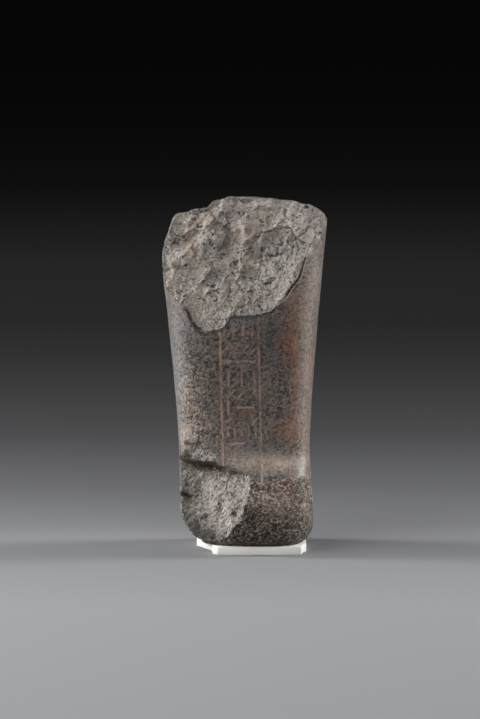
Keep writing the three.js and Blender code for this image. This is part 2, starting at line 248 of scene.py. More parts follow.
WORN_DIRECTION = math.radians(200)
WORN_SPREAD = math.radians(50)
ROUNDING_SHARE = 0.94


def sole_inset(height, direction):
    away = (direction - WORN_DIRECTION) / WORN_SPREAD
    radius = mix(SOLE_ROUNDING, CORNER_ROUNDING, np.exp(-away * away))
    below = clamp(1 - height / radius, 0, ROUNDING_SHARE)
    return radius * (1 - np.sqrt(1 - below ** 2))


def body_reach(direction, height):
    c, s = np.cos(direction), np.sin(direction)
    p = squareness(height)
    depth = np.where(s < 0, front_depth(height), back_depth(height))
    reach = (np.abs(c / half_width(height)) ** p + np.abs(s / depth) ** p) ** (-1 / p)
    return reach - sole_inset(height, direction)


def on_ray(direction, height, reach):
    return np.stack([axis_x(height) + reach * np.cos(direction), reach * np.sin(direction), height], axis=-1)


def fullness(x, height):
    p = squareness(height)
    share = clamp(np.abs((x - axis_x(height)) / half_width(height)), 0, 1)
    return (1 - share ** p) ** (1 / p)


def front_y(x, height):
    return -front_depth(height) * fullness(x, height)


def back_y(x, height):
    return back_depth(height) * fullness(x, height)


# Rim of the break: direction in degrees from the right round the back, and height
BREAK_RIM = [
    (0, 0.937), (10, 0.947), (20, 0.96), (32, 0.979), (40, 0.985), (56, 0.992), (77, 1.003), (89, 1.004),
    (103, 1.001), (113, 0.991), (118, 0.988), (122.5, 0.968), (129, 0.963), (140, 0.959), (149, 0.945),
    (157, 0.89), (168, 0.84), (180, 0.785), (196, 0.748), (210, 0.709), (217, 0.685), (224, 0.638),
    (232, 0.621), (240, 0.634), (250, 0.648), (257, 0.674), (268, 0.681), (278, 0.677), (298, 0.687),
    (310, 0.716), (317, 0.757), (323, 0.78), (327, 0.84), (331, 0.885), (341, 0.915), (350, 0.93),
    (360, 0.937),
]
RIM_TEETH = [(47, 0.0032), (101, 0.0022)]  # waves round the rim and their height


def rim_height(direction):
    turn = direction % (2 * math.pi)
    stations, heights = zip(*BREAK_RIM)
    height = np.interp(np.degrees(turn), stations, heights)
    for waves, tall in RIM_TEETH:
        height += tall * flat_noise(turn / (2 * math.pi) * waves, np.full_like(turn, waves))
    return STONE_HEIGHT * np.minimum(height, 1)


# Ragged edges: waves and how far an edge wanders with each, for the chip and for the break's ledges
CHIP_RAGGED = [(2.6, 0.85), (1.1, 0.4)]
BREAK_RAGGED = [(6.5, 0.9), (2.6, 0.65), (1.1, 0.3)]
RAGGED_SHIFT = 7  # keeps the two directions' noises apart


def ragged(x, height, waves):
    """Places shifted a little, so that what is cut there gets ragged edges."""
    for wave, reach in waves:
        shift = reach * flat_noise(x / wave, height / wave)
        x, height = x + shift, height + reach * flat_noise(height / wave, x / wave + RAGGED_SHIFT)
    return x, height


# Relief of the break. Scars are shallow bowls, crests are ridges, and a ledge drops on its path's right.
SCARS = [
    dict(at=(0.06, 0.823), reach=(0.132, 0.091), depth=0.0157),
    dict(at=(0.12, 0.847), reach=(0.05, 0.037), depth=0.024),
    dict(at=(-0.66, 0.874), reach=(0.045, 0.041), depth=0.019),
    dict(at=(0.45, 0.869), reach=(0.074, 0.045), depth=0.0215),
    dict(at=(-0.45, 0.682), reach=(0.07, 0.079), depth=0.003),
    dict(at=(-0.72, 0.79), reach=(0.058, 0.066), depth=0.0066),
    dict(at=(0.3, 0.73), reach=(0.116, 0.066), depth=0.0041),
    dict(at=(-0.086, 0.807), reach=(0.018, 0.018), depth=0.022),
    dict(at=(-0.34, 0.778), reach=(0.017, 0.015), depth=0.006),
    dict(at=(-0.086, 0.735), reach=(0.025, 0.012), depth=0.004),
    dict(at=(-0.452, 0.762), reach=(0.013, 0.013), depth=0.005),
]
BETWEEN_SCARS = -0.005

CRESTS = [
    dict(
        path=[(-0.83, 0.82), (-0.715, 0.837), (-0.543, 0.869), (-0.475, 0.903), (-0.35, 0.93)],
        rise=0.018, reach=0.022,
    ),
    dict(
        path=[(-0.91, 0.874), (-0.77, 0.893), (-0.66, 0.917), (-0.5, 0.937), (-0.38, 0.951), (-0.22, 0.972)],
        rise=0.014, reach=0.02,
    ),
    dict(path=[(-0.83, 0.82), (-0.79, 0.77), (-0.784, 0.722)], rise=0.007, reach=0.013),
    dict(path=[(-0.395, 0.7485), (-0.36, 0.716), (-0.212, 0.682)], rise=0.0045, reach=0.013),
]

LEDGES = [
    dict(
        path=[(0.2, 0.903), (0.29, 0.914), (0.41, 0.922), (0.53, 0.919), (0.66, 0.882), (0.73, 0.878)],
        drop=0.015, reach=0.041,
    ),
    dict(path=[(0.49, 0.928), (0.56, 0.911), (0.66, 0.884), (0.74, 0.872)], drop=0.016, reach=0.025),
    dict(path=[(-0.37, 0.919), (-0.3, 0.93), (-0.23, 0.927), (-0.18, 0.914)], drop=0.01, reach=0.033),
    dict(path=[(-0.28, 0.85), (-0.22, 0.869), (-0.23, 0.895)], drop=0.007, reach=0.033),
]

# Narrow flutes under the right ledge, and the crack along parts of the rim, whose shadow is also painted dark
FLUTES = [
    [(0.24, 0.852), (0.33, 0.882)], [(0.36, 0.85), (0.44, 0.886)], [(0.44, 0.845), (0.53, 0.89)],
    [(0.53, 0.85), (0.58, 0.885)], [(0.12, 0.868), (0.2, 0.89)],
]
FLUTE = dict(half_width=0.009, depth=0.0062)
CRACK_MIDDLE = 0.0045
CRACK_HALF_WIDTH = 0.0042
CRACK_DEPTH = 0.011

EDGE_CALM = 0.025
THIN_EDGE = 0.0125
FILM_PARTS = 40  # taken one after another, to save memory


def beside_path(spots, path):
    """Distance from spots to a path of straight stretches, positive on the path's right."""
    nearest = np.full(len(spots), np.inf)
    side = np.ones(len(spots))
    corners = [place(corner) for corner in path]
    for start, end in zip(corners, corners[1:]):
        along = end - start
        out = spots - start
        share = clamp(out @ along / (along @ along), 0, 1)
        distance = np.linalg.norm(out - share[:, None] * along, axis=1)
        closer = distance < nearest
        turn = out[:, 0] * along[1] - out[:, 1] * along[0]
        nearest = np.where(closer, distance, nearest)
        side = np.where(closer, np.where(turn >= 0, 1, -1), side)
    return nearest * side


def break_relief(x, height):
    spots = np.stack(ragged(x, height, BREAK_RAGGED), axis=1)
    depth = np.full(len(x), BETWEEN_SCARS)
    for scar in SCARS:
        out = (spots - place(scar["at"])) / size(np.array(scar["reach"]))
        depth = np.maximum(depth, scar["depth"] * (1 - (out ** 2).sum(axis=1)))
    for crest in CRESTS:
        away = np.abs(beside_path(spots, crest["path"]))
        depth -= crest["rise"] * clamp(1 - away / size(crest["reach"]), 0, 1)
    for ledge in LEDGES:
        below = beside_path(spots, ledge["path"])
        drop = ledge["drop"] * clamp(1 - below / size(ledge["reach"]), 0, 1)
        depth += np.where(below > 0, drop, 0)
    for flute in FLUTES:
        away = np.abs(beside_path(spots, flute))
        depth += FLUTE["depth"] * clamp(1 - away / size(FLUTE["half_width"]), 0, 1)
    return size(depth) + roughness(x, height)


def film_depth(loop, x, height):
    """Depth of a smooth film stretched over a closed loop, by mean value coordinates."""
    depth = np.empty(len(x))
    for part in np.array_split(np.arange(len(x)), FILM_PARTS):
        arms = loop[None, :, [0, 2]] - np.stack([x[part], height[part]], axis=1)[:, None, :]
        after = np.roll(arms, -1, axis=1)
        cross = arms[..., 0] * after[..., 1] - arms[..., 1] * after[..., 0]
        half = np.tan(np.arctan2(cross, (arms * after).sum(axis=2)) / 2)
        weight = (np.roll(half, 1, axis=1) + half) / np.linalg.norm(arms, axis=2)
        depth[part] = (weight * loop[:, 1]).sum(axis=1) / weight.sum(axis=1)
    return depth


# Chip at the left front of the feet: a long scar that falls back from its crest to the left side, and a
# shallow notch over its brow
SCAR_FLANK = [(-0.95, -0.03), (-0.95, 0.1)]
SCAR_BROW = [
    (-0.95, 0.262), (-0.72, 0.262), (-0.62, 0.257), (-0.5, 0.252), (-0.39, 0.252), (-0.3, 0.243),
    (-0.2, 0.232), (-0.1, 0.224),
]
SCAR_CREST = [
    (0.025, 0.213), (0.08, 0.193), (0.068, 0.155), (0.01, 0.12), (-0.045, 0.092), (-0.11, 0.055),
    (-0.17, -0.03),
]
SCAR_SLOPE = 0.7
BROW_STEP = 0.01
BROW_REACH = 0.028
SCAR_CALM = 0.025
SCAR_UNEVENNESS = 0.5
STREAK = dict(lean=math.radians(60), across=0.0215, along=0.124, depth=0.004)
FINE_STREAK = dict(lean=math.radians(56), across=0.009, along=0.05, depth=0.0012)

NOTCH_OUTLINE = [
    (-0.5, 0.2), (-0.95, 0.22), (-0.95, 0.25), (-0.76, 0.256), (-0.655, 0.275), (-0.645, 0.303),
    (-0.54, 0.298), (-0.38, 0.284), (-0.35, 0.262), (-0.29, 0.243), (-0.2, 0.224),
]
NOTCH_EDGE = -0.36
NOTCH_STEP = 0.0066
NOTCH_SLOPE = 0.62

HOLES = [
    dict(at=(-0.68, 0.13), reach=(0.032, 0.012), depth=0.02),
    dict(at=(-0.58, 0.233), reach=(0.05, 0.014), depth=0.012),
    dict(at=(-0.43, 0.08), reach=(0.014, 0.012), depth=0.01),
]
WALL_STEEPNESS = 2.6  # of the chip's walls, as depth for each millimetre inwards from its outline


def crest_x(height):
    ups = [up for _, up in SCAR_CREST[::-1]]
    return KNEE_HALF_WIDTH * np.interp(height / STONE_HEIGHT, ups, [at for at, _ in SCAR_CREST[::-1]])


def brow_height(x):
    line = SCAR_BROW + SCAR_CREST[:1]
    return size(np.interp(x / KNEE_HALF_WIDTH, [at for at, _ in line], [up for _, up in line]))


def streaks(x, height, streak):
    c, s = math.cos(streak["lean"]), math.sin(streak["lean"])
    across, along = x * s - height * c, x * c + height * s
    return size(streak["depth"]) * flat_noise(across / size(streak["across"]), along / size(streak["along"]))


def scar_y(x, height):
    leftwards = clamp(crest_x(height) - x, 0, None)
    uneven = streaks(x, height, STREAK) + streaks(x, height, FINE_STREAK)
    uneven = uneven + SCAR_UNEVENNESS * roughness(x, height)
    fade = smoothstep(0, size(SCAR_CALM), leftwards)
    scar = front_y(crest_x(height), height) + SCAR_SLOPE * leftwards + uneven * fade
    for hole in HOLES:
        out = [(x - hole["at"][0] * KNEE_HALF_WIDTH) / size(hole["reach"][0]),
               (height - size(hole["at"][1])) / size(hole["reach"][1])]
        scar = scar + size(hole["depth"]) * clamp(1 - out[0] ** 2 - out[1] ** 2, 0, 1)
    overhang = np.minimum(scar, front_y(x, height) + size(BROW_STEP))
    return mix(overhang, scar, smoothstep(0, size(BROW_REACH), brow_height(x) - height))


def notch_y(x, height):
    edge = NOTCH_EDGE * KNEE_HALF_WIDTH
    return front_y(edge, height) + size(NOTCH_STEP) + NOTCH_SLOPE * clamp(edge - x, 0, None)


def inside(outline, x, height):
    """Distance inwards from a closed outline, negative outside it."""
    spots = np.stack([np.ravel(x), np.ravel(height)], axis=1)
    distance = np.abs(beside_path(spots, outline + outline[:1]))
    crossings = np.zeros(len(spots), int)
    corners = np.array([place(corner) for corner in outline])
    for (x0, h0), (x1, h1) in zip(corners, np.roll(corners, -1, axis=0)):
        if h0 == h1:
            continue
        spans = (h0 > spots[:, 1]) != (h1 > spots[:, 1])
        at = x0 + (spots[:, 1] - h0) * (x1 - x0) / (h1 - h0)
        crossings += spans & (spots[:, 0] < at)
    return np.where(crossings % 2 == 1, distance, -distance).reshape(np.shape(x))


CUTS = [(SCAR_FLANK + SCAR_BROW + SCAR_CREST, scar_y), (NOTCH_OUTLINE, notch_y)]
BISECTIONS = 22


def cut_reach(direction, height, reach):
    """Reach of the body along each ray once the chip is taken off."""
    c, s = np.cos(direction), np.sin(direction)
    left = reach.copy()
    for outline, depth_at in CUTS:
        near, far = np.zeros_like(reach), left.copy()
        for _ in range(BISECTIONS):
            middle = (near + far) / 2
            x = axis_x(height) + middle * c
            near_x, near_height = ragged(x, height, CHIP_RAGGED)
            wall = front_y(x, height) + WALL_STEEPNESS * inside(outline, near_x, near_height)
            cut = middle * s < np.minimum(depth_at(near_x, near_height), wall)
            far = np.where(cut, middle, far)
            near = np.where(cut, near, middle)
        left = np.minimum(left, far)
    return left


# Rows of strokes in the column, from the top down: height, tallness and marks. A mark is its kind, its
# count and its left and right ends as shares of the column's half width.
ROWS = [
    (0.637, 0.035, [("upright", 4, -0.75, 0.7)]),
    (0.577, 0.028, [("slant", 4, -0.75, 0.75)]),
    (0.544, 0, [("bar", 1, -0.85, 0.8)]),
    (0.493, 0.045, [("upright", 3, -0.6, 0.75)]),
    (0.446, 0.021, [("slant", 3, -0.5, 0.6)]),
    (0.407, 0.035, [("upright", 1, -0.65, -0.65), ("bar", 1, -0.15, 0.65)]),
    (0.368, 0.015, [("slant", 2, -0.7, 0.75)]),
    (0.335, 0.023, [("upright", 5, -0.7, 0.75)]),
    (0.299, 0, [("bar", 1, -0.7, 0.1)]),
    (0.252, 0, [("bar", 1, -0.45, 0.6)]),
]
SLANT = 0.45
BORDER_TOP = 0.71
BORDER_FOOT = 0.165
WANDER = dict(reach=0.16, along=2.3, across=9)  # how the lines wander, in millimetres
TAN_REACH = 1.5  # where the tan of a line ends, in half widths from its middle


def in_column(across, height):
    return np.array([COLUMN_SHIFT - COLUMN_LEAN * (height - ANKLE_RISE) + across * COLUMN_HALF_WIDTH, height])


def mark_ends(kind, share, height, tall, left, right):
    if kind == "bar":
        return in_column(left, height), in_column(right, height)
    lean = np.array([SLANT * tall if kind == "slant" else 0, tall / 2])
    middle = in_column(share, height)
    return middle - lean, middle + lean


def incised_lines():
    """Every line of the column as its two ends, its half width and its depth."""
    for side in (-1, 1):
        ends = [in_column(side, size(up)) for up in (BORDER_FOOT, BORDER_TOP)]
        yield (*ends, BORDER_HALF_WIDTH, BORDER_DEPTH)
    for up, tall, marks in ROWS:
        for kind, count, left, right in marks:
            for share in np.linspace(left, right, count):
                ends = mark_ends(kind, share, size(up), size(tall), left, right)
                yield (*ends, STROKE_HALF_WIDTH, STROKE_DEPTH)


def incisions(x, height):
    """Depth of the incised lines, and their strength between 0 and 1."""
    depth = np.zeros(len(x))
    strength = np.zeros(len(x))
    spots = np.stack([x, height], axis=1)
    long, wide = WANDER["along"], WANDER["across"]
    sideways, upwards = flat_noise(height / long, x / wide), flat_noise(x / long, height / wide)
    wander = WANDER["reach"] * np.stack([sideways, upwards], axis=1)
    for start, end, half, deep in incised_lines():
        along = end - start
        out = spots + wander - start
        share = clamp(out @ along / (along @ along), 0, 1)
        away = np.linalg.norm(out - share[:, None] * along, axis=1) / half
        depth = np.maximum(depth, deep * clamp(1 - away ** 2, 0, 1))
        strength = np.maximum(strength, clamp(TAN_REACH - away, 0, 1) * math.sqrt(deep / BORDER_DEPTH))
    return depth, strength


# Patches of each mark: place across and up, reach across and up, all in millimetres, and strength
SKIN_PATCHES = dict(
    # dust, and painted sheen where the flanks and the instep catch the lights
    dust=[
        (9, 17, 8, 5, 0.4), (0, 28, 6, 3, 0.35), (26, 95, 3, 12, 0.3), (12, 29.3, 11, 3.2, 0.9),
        (-2, 33, 8, 4, 0.3), (-24.5, 60, 3, 40, 0.15), (22, 60, 2.5, 45, 0.35), (-21.5, 38, 2, 4, 0.6),
    ],
    # the stone's own tone, with painted highlight on the flanks and the instep and painted shade in a hollow
    # of the foot and along the bottom
    tone=[
        (-19, 50, 6, 18, 0.3), (16, 45, 8, 10, 0.2), (-13, 38, 7, 7, 0.45), (-21.5, 56, 3, 16, 0.4),
        (-16, 45, 4, 8, 0.2), (24.5, 104, 2.5, 4, -0.35), (12.7, 27.7, 4, 2, 0.3), (24, 17, 3, 8, 0.3),
        (-4.5, 60, 4, 6, 0.15), (-3, 31, 9, 4, 0.45), (10, 29, 10, 3, 0.2), (18.4, 42, 3, 10, 0.4),
        (18.4, 70, 3, 15, 0.25), (5, 14, 14, 8, 0.4), (10, 75, 8, 8, -0.9), (0, 55, 9, 30, -0.35),
        (13, 52, 9, 14, -0.3), (14, 66, 5, 8, -0.3), (-12, 64, 8, 14, -0.25), (2.5, 12, 2.6, 3.2, -1.3),
        (12, 4, 16, 6, -0.8),
    ],
    ochre=[
        (17, 67, 3, 10, 0.45), (15, 40, 5, 6, 0.5), (19, 52, 2, 16, 0.35), (17.5, 84, 4, 8, 0.55),
        (14, 12, 9, 9, 0.3), (-4, 45, 5, 14, 0.2),
    ],
    rust=[
        (15.9, 72, 2.4, 5, 1.0), (11.4, 73, 1.6, 2.4, 0.6), (18.8, 61, 1.1, 9, 0.6),
        (14.5, 41.4, 4, 4, 0.4), (1, 47.5, 3, 0.8, 0.7), (23.3, 50, 0.8, 26, 0.5), (15, 22, 3, 2, 0.5),
    ],
    # bloom, and painted reflections of the lights along the flanks and on the instep
    bloom=[
        (-2, 80.5, 5.5, 2.2, 0.75), (-18, 78, 4, 6, 0.5), (2, 34, 9, 4, 0.35), (-25, 65, 3.5, 35, 0.7),
        (21, 60, 1.5, 14, 0.3),
    ],
    # scuffs and fresh chips, and a painted highlight on the polished left edge
    scuff=[
        (21.2, 14.2, 0.9, 0.7, 1.0), (23.4, 104.7, 0.6, 1.2, 0.7), (26, 109.6, 0.8, 1.2, 0.7),
        (27.9, 112.6, 0.7, 1, 0.7), (-20.7, 59.7, 0.9, 0.25, 0.8), (-28.6, 91, 1, 4, 0.25),
    ],
    grime=[(8, 0.4, 18, 1.1, 0.9)],
)
CHIP_PATCHES = dict(
    # mostly painted shade under the brow of the chip's overhang, with some grime
    grime=[
        (-23.5, 28.5, 3.5, 2.6, 1.3), (-18, 28, 4, 2.2, 1.3), (-13, 27.5, 4, 1.9, 1.2),
        (-8.5, 26.5, 3.5, 1.3, 0.9), (-4.5, 25.6, 2.5, 0.9, 0.7), (-21, 15.8, 3.4, 1.6, 1.3),
        (-14.5, 3.8, 3, 1.6, 0.7), (-16, 36.4, 5, 0.6, 0.9), (-13.7, 9.8, 1.4, 1.2, 0.35),
    ],
    # darker at the chip's left and at its foot, with painted shade where it meets the pad
    dusk=[(-22, 14, 5, 14, 0.9), (-17, 2, 8, 4, 1.0)],
    # painted shade low on the chip near the pad, and two paler spots
    tone=[(-20, 14, 6, 10, -0.3), (-19, 4, 7, 4, -1.1), (-16, 12, 3, 4, 0.3), (-4.5, 8, 3, 6, 0.4)],
)
BREAK_PATCHES = dict(
    # painted shade under the ledges and on the shaded sides of crests of the break, where the relief is also
    # deepened
    dusk=[
        (11.3, 106.5, 8, 4.2, 0.5), (4.8, 102.5, 9.5, 1.7, 0.6), (-8, 109.5, 4.5, 2.5, 0.15),
        (-7, 105.5, 2, 4, 0.15), (-13.4, 104, 3, 5, 0.15), (-10.5, 97.7, 6, 3, 0.4),
        (-3.4, 96.7, 2, 2, 1.0), (-9.8, 94.4, 2.3, 1.7, 0.8), (-10.9, 88.3, 2, 2, 0.7),
        (-5.5, 88, 1.1, 1.8, 0.8), (-2, 84.5, 7, 1, 0.5), (17, 92.5, 1.8, 5, 0.7),
        (-17.3, 114.8, 1.6, 1.1, 0.8), (-23, 109, 3, 3, 0.3),
    ],
    # where a crack runs along the rim, cut as a groove and painted dark as its shadow
    crack=[(18.5, 95, 6, 9, 1.8), (-17.3, 80.5, 4.5, 5.5, 1.8)],
    ochre=[(-20, 106, 3, 2.6, 0.8), (6, 113, 5, 3, 0.4), (2, 99, 4, 3, 0.4)],
    # the break's own tone, with painted light on the shaded sides of ledges and crests and painted shade
    # elsewhere
    tone=[
        (-14, 86, 8, 9, 0.45), (-24, 100, 5, 12, 0.3), (8, 88, 10, 7, 0.25), (0, 119, 14, 3, 0.45),
        (-15.5, 110.6, 4, 3.5, 0.65), (-21.6, 101, 3, 3, 0.4), (1.3, 115.4, 3, 3, -0.25),
        (-4.5, 96, 2.5, 2.5, -0.3), (13, 110.6, 3, 3, 0.35), (-10, 105, 3, 4, 0.3), (10, 110, 5, 3, 0.3),
        (21, 105.5, 4, 5, -0.5), (-21.5, 112.5, 4, 5, 0.6), (-15.5, 96, 3.5, 3, -0.55),
        (-12.5, 79, 5, 4, 0.35), (12, 111, 5, 2, 0.3),
    ],
    scuff=[(25, 108.5, 0.9, 1.2, 0.5)],
)


def patch_marks(patches, x, height, share):
    marks = {}
    for name, places in patches.items():
        marks[name] = np.zeros(len(x))
        for across, up, wide, tall, strength in places:
            away = ((x - across) / wide) ** 2 + ((height - up) / tall) ** 2
            marks[name] += strength * np.exp(-away) * share
    return marks


# Fine wear of each kind of surface, in millimetres
SKIN_WAVE = (9, 0.07)
SKIN_PITS = dict(spacing=1.5, share=0.3, reach=0.36, depth=0.07)
FOOT_WAVE = (3.4, 0.2)
FOOT_PITS = dict(spacing=1.9, share=0.75, reach=0.5, depth=0.42)
BREAK_SHELLS = [(6.2, 0.6, 2.0), (3.1, 0.6, 1.0), (1.7, 0.6, 0.5), (1.0, 0.5, 0.3)]  # size, tilt and depth
BREAK_FACETS = [(4.6, 0.75, 0.2), (2.4, 0.45, 0.22), (1.3, 0.2, 0.22)]  # size, step and tilt
BORDER_PAINTED_SHADE = 0.3  # painted shade along the borders of the two larger kinds of facets, where they crease
CALM_FOOT = 0.4  # share of the large forms' depth that is left low on the break
CALM_RISE = (88, 107)
HOLLOW_DEPTH = 0.35
CREST_PAINTED_SHADE = 0.12  # painted shade where the small shells meet in ridges
RIDGE_PAINTED_HIGHLIGHT = 0.22  # painted highlight where the large ones meet in ridges
BREAK_GRAIN = (0.9, 0.16)
BREAK_PITS = dict(spacing=1.2, share=0.4, reach=0.36, depth=0.32)
LINEATION = dict(lean=math.radians(52), stretch=1.5)  # the way in which the fracture runs
CHIP_WAVE = (1.9, 0.26)
CHIP_PITS = dict(spacing=1.0, share=0.4, reach=0.42, depth=0.22)
NOTCH_FOOT = 31

# Heights on the chip, and where its pale face begins at each
FRESH_EDGE = [(3, -9.8), (9, -11.2), (18, -14), (22, -17), (25, -19)]
FRESH_FADE = 2
FRESH_WANDER = (1.5, 3)  # depth and wave
FOOT_LINE = 24.5  # height below which the feet are rough
FOOT_FADE = 3
FOOT_WANDER = (1.5, 7)
FLAT_SOLE = 1.2  # height up to which the wear grows from nothing
CHIP_RAYS = dict(sine=0.3, cosine=0.25, height=0.32)  # rays beyond these don't meet the chip
CHIP_EDGE = (0.05, 0.35)  # depths between which the skin turns into the chip
FRONT_SINES = (0, -0.5)  # from the sides to the front, for the strokes
SEEN_SINES = (0.4, 0.1)  # from the back to the sides, for the patches
FOOT_STROKE_WEAR = 0.55  # share of the strokes worn off on the feet
GRIME_AND_SHADE_WAVE = 1.5
RIM_SHADE = dict(strength=1.6, reach=1.6, left=-20, right=14)  # darkening of the skin under the break
FEWEST_IN_RING = 5
GAPE_WANDER = (0.5, 2.1)  # share and wave by which the crack's width varies
CRACK_SOFTNESS = 1.3
PITS_FROM_RIM = 0.8  # distances from the rim over which pits and grain grow
GRAIN_FROM_RIM = 0.6
LARGE_KINDS = 2  # how many kinds of shells and of facets, the first in their lists, are large forms
FACET_SEED = 9
FORM_FADE = 3  # forms grow inwards from the rim over their size divided by this
# Levels of the shells' ridges that get painted highlight and painted shade, and shares taken off everywhere
PALE_EDGES = dict(levels=(0.08, -0.12), less=0.2)
DARK_CRESTS = dict(levels=(0.2, -0.15), less=0.5)
DARK_BORDERS_LESS = 0.2
INTO_STONE = np.array([0, 0.75, -0.66])


def along_lineation(x, height):
    """Places on the break turned and squeezed, so that what is scattered there runs with the fracture."""
    x, height = ragged(x, height, CHIP_RAGGED)
    c, s = math.cos(LINEATION["lean"]), math.sin(LINEATION["lean"])
    return (x * c + height * s) / LINEATION["stretch"], height * c - x * s


def pitted(points, spec, seed):
    return spec["depth"] * pits(points, spec["spacing"], spec["share"], spec["reach"], seed)


RING_SAMPLES = 6001
SPACING = [
    (0, COLUMN_STEP), (25, COLUMN_STEP), (30, FRONT_STEP), (95, FRONT_STEP), (115, BACK_STEP),
    (180, BACK_STEP),
]  # degrees from the front, and the step between columns


def column_directions():
    """Directions of the tube's columns: close together over the incised column, wide apart at the back."""
    turn = np.linspace(-math.pi / 2, 1.5 * math.pi, RING_SAMPLES)
    level = np.full_like(turn, ANKLE_RISE)
    ring = on_ray(turn, level, body_reach(turn, level))
    stretch = np.linalg.norm(np.diff(ring, axis=0), axis=1)
    from_front = np.abs(np.degrees((turn[1:] + math.pi / 2 + math.pi) % (2 * math.pi) - math.pi))
    step = np.interp(from_front, *zip(*SPACING))
    passed = np.concatenate([[0], np.cumsum(stretch / step)])
    count = round(passed[-1])
    return np.interp(np.arange(count) * passed[-1] / count, passed, turn) % (2 * math.pi)


class Surface:
    """Points, their marks and faces. Rings run anticlockwise seen from the outside of their end."""

    MARKS = (
        "raw", "chip", "fresh", "foot", "incised", "hollow", "crack", "grime", "rust", "bloom", "scuff",
        "tone", "dusk", "ochre", "dust",
    )

    def __init__(self):
        self.points = []
        self.marks = {name: [] for name in self.MARKS}
        self.faces = []
        self.count = 0

    def add(self, points, **marks):
        self.points.append(points)
        for name in self.MARKS:
            self.marks[name].append(np.broadcast_to(marks.get(name, 0.0), len(points)))
        numbers = np.arange(self.count, self.count + len(points))
        self.count += len(points)
        return numbers

    def strip(self, lower, upper):
        """Strip between two closed rings of any two counts."""
        n, m = len(lower), len(upper)
        i = j = 0
        while i < n or j < m:
            a, b = lower[i % n], upper[j % m]
            if j >= m or (i < n and (i + 1) / n <= (j + 1) / m):
                i += 1
                self.faces.append((a, lower[i % n], b))
            else:
                j += 1
                self.faces.append((a, upper[j % m], b))

    def fan(self, ring, centre):
        self.faces.extend((a, b, centre) for a, b in zip(ring, np.roll(ring, -1)))

    def grid(self, rows):
        for lower, upper in zip(rows, rows[1:]):
            quads = np.stack([lower, np.roll(lower, -1), np.roll(upper, -1), upper], axis=1)
            self.faces.extend(map(tuple, quads))


def tube(surface):
    """Skin of the stone from the sole to the rim, with the chip and the strokes. Returns its rows."""
    columns = column_directions()
    lower = np.linspace(0, 1, LOWER_ROWS + 1) ** SOLE_CROWDING
    upper = np.linspace(0, 1, UPPER_ROWS + 1)[1:]
    rims = rim_height(columns)
    heights = np.concatenate([
        np.repeat(ANKLE_RISE * lower[:, None], len(columns), axis=1),
        ANKLE_RISE + upper[:, None] * (rims - ANKLE_RISE),
    ])
    height = heights.ravel()
    direction = np.tile(columns, len(heights))
    whole = body_reach(direction, height)
    reach = whole.copy()
    near_chip = (np.sin(direction) < CHIP_RAYS["sine"]) & (np.cos(direction) < CHIP_RAYS["cosine"])
    near_chip &= height < size(CHIP_RAYS["height"])
    reach[near_chip] = cut_reach(direction[near_chip], height[near_chip], whole[near_chip])
    chip = smoothstep(*CHIP_EDGE, whole - reach)
    points = on_ray(direction, height, reach)

    foot_line = FOOT_LINE + FOOT_WANDER[0] * solid_noise(points, FOOT_WANDER[1], seed=3)
    foot = smoothstep(foot_line, foot_line - FOOT_FADE, height) * (1 - chip)
    front = smoothstep(*FRONT_SINES, np.sin(direction))
    depth, strength = incisions(points[:, 0], height)
    worn_off = (1 - chip) * front * (1 - FOOT_STROKE_WEAR * foot)
    skin_hollow = pitted(points, SKIN_PITS, seed=11)
    foot_hollow = pitted(points, FOOT_PITS, seed=23)
    chip_hollow = pitted(points, CHIP_PITS, seed=37)
    sinking = SKIN_WAVE[1] * layered_noise(points, SKIN_WAVE[0], layers=2, seed=5)
    sinking += (1 - chip) * (1 - foot) * skin_hollow
    sinking += foot * (foot_hollow + FOOT_WAVE[1] * layered_noise(points, FOOT_WAVE[0], layers=3, seed=7))
    sinking += chip * (chip_hollow + CHIP_WAVE[1] * layered_noise(points, CHIP_WAVE[0], layers=3, seed=9))
    sinking += depth * worn_off
    standing = smoothstep(0, FLAT_SOLE, height)
    points = on_ray(direction, height, reach - sinking * standing)
    hollow = (1 - chip) * (1 - foot) * skin_hollow / SKIN_PITS["depth"]
    hollow += foot * foot_hollow / FOOT_PITS["depth"] + chip * chip_hollow / CHIP_PITS["depth"]
    x = points[:, 0]
    seen = smoothstep(*SEEN_SINES, np.sin(direction))
    beyond = x - np.interp(height, *zip(*FRESH_EDGE))
    beyond = beyond + FRESH_WANDER[0] * solid_noise(points, FRESH_WANDER[1], seed=71)
    fresh = chip * np.maximum(smoothstep(-FRESH_FADE, FRESH_FADE, beyond), height > NOTCH_FOOT)
    below_rim = np.tile(rims, len(heights)) - height
    marks = patch_marks(SKIN_PATCHES, x, height, seen * (1 - chip))
    for name, values in patch_marks(CHIP_PATCHES, x, height, seen * chip).items():
        marks[name] = marks.get(name, 0) + values
    marks["grime"] = marks["grime"] * (1 + solid_noise(points, GRIME_AND_SHADE_WAVE, seed=91))
    shaded = (x < RIM_SHADE["right"]) * (x > RIM_SHADE["left"])
    marks["tone"] -= RIM_SHADE["strength"] * smoothstep(RIM_SHADE["reach"], 0, below_rim) * shaded
    numbers = surface.add(
        points, raw=chip, chip=chip, fresh=fresh, foot=foot, incised=strength * worn_off, hollow=hollow,
        **marks,
    )
    rows = numbers.reshape(len(heights), len(columns))
    surface.grid(rows)
    return rows


def along_loop(loop, shares):
    at = shares * len(loop)
    i = np.floor(at).astype(int)
    here, after = loop[i % len(loop)], loop[(i + 1) % len(loop)]
    return mix(here, after, (at - i)[:, None])


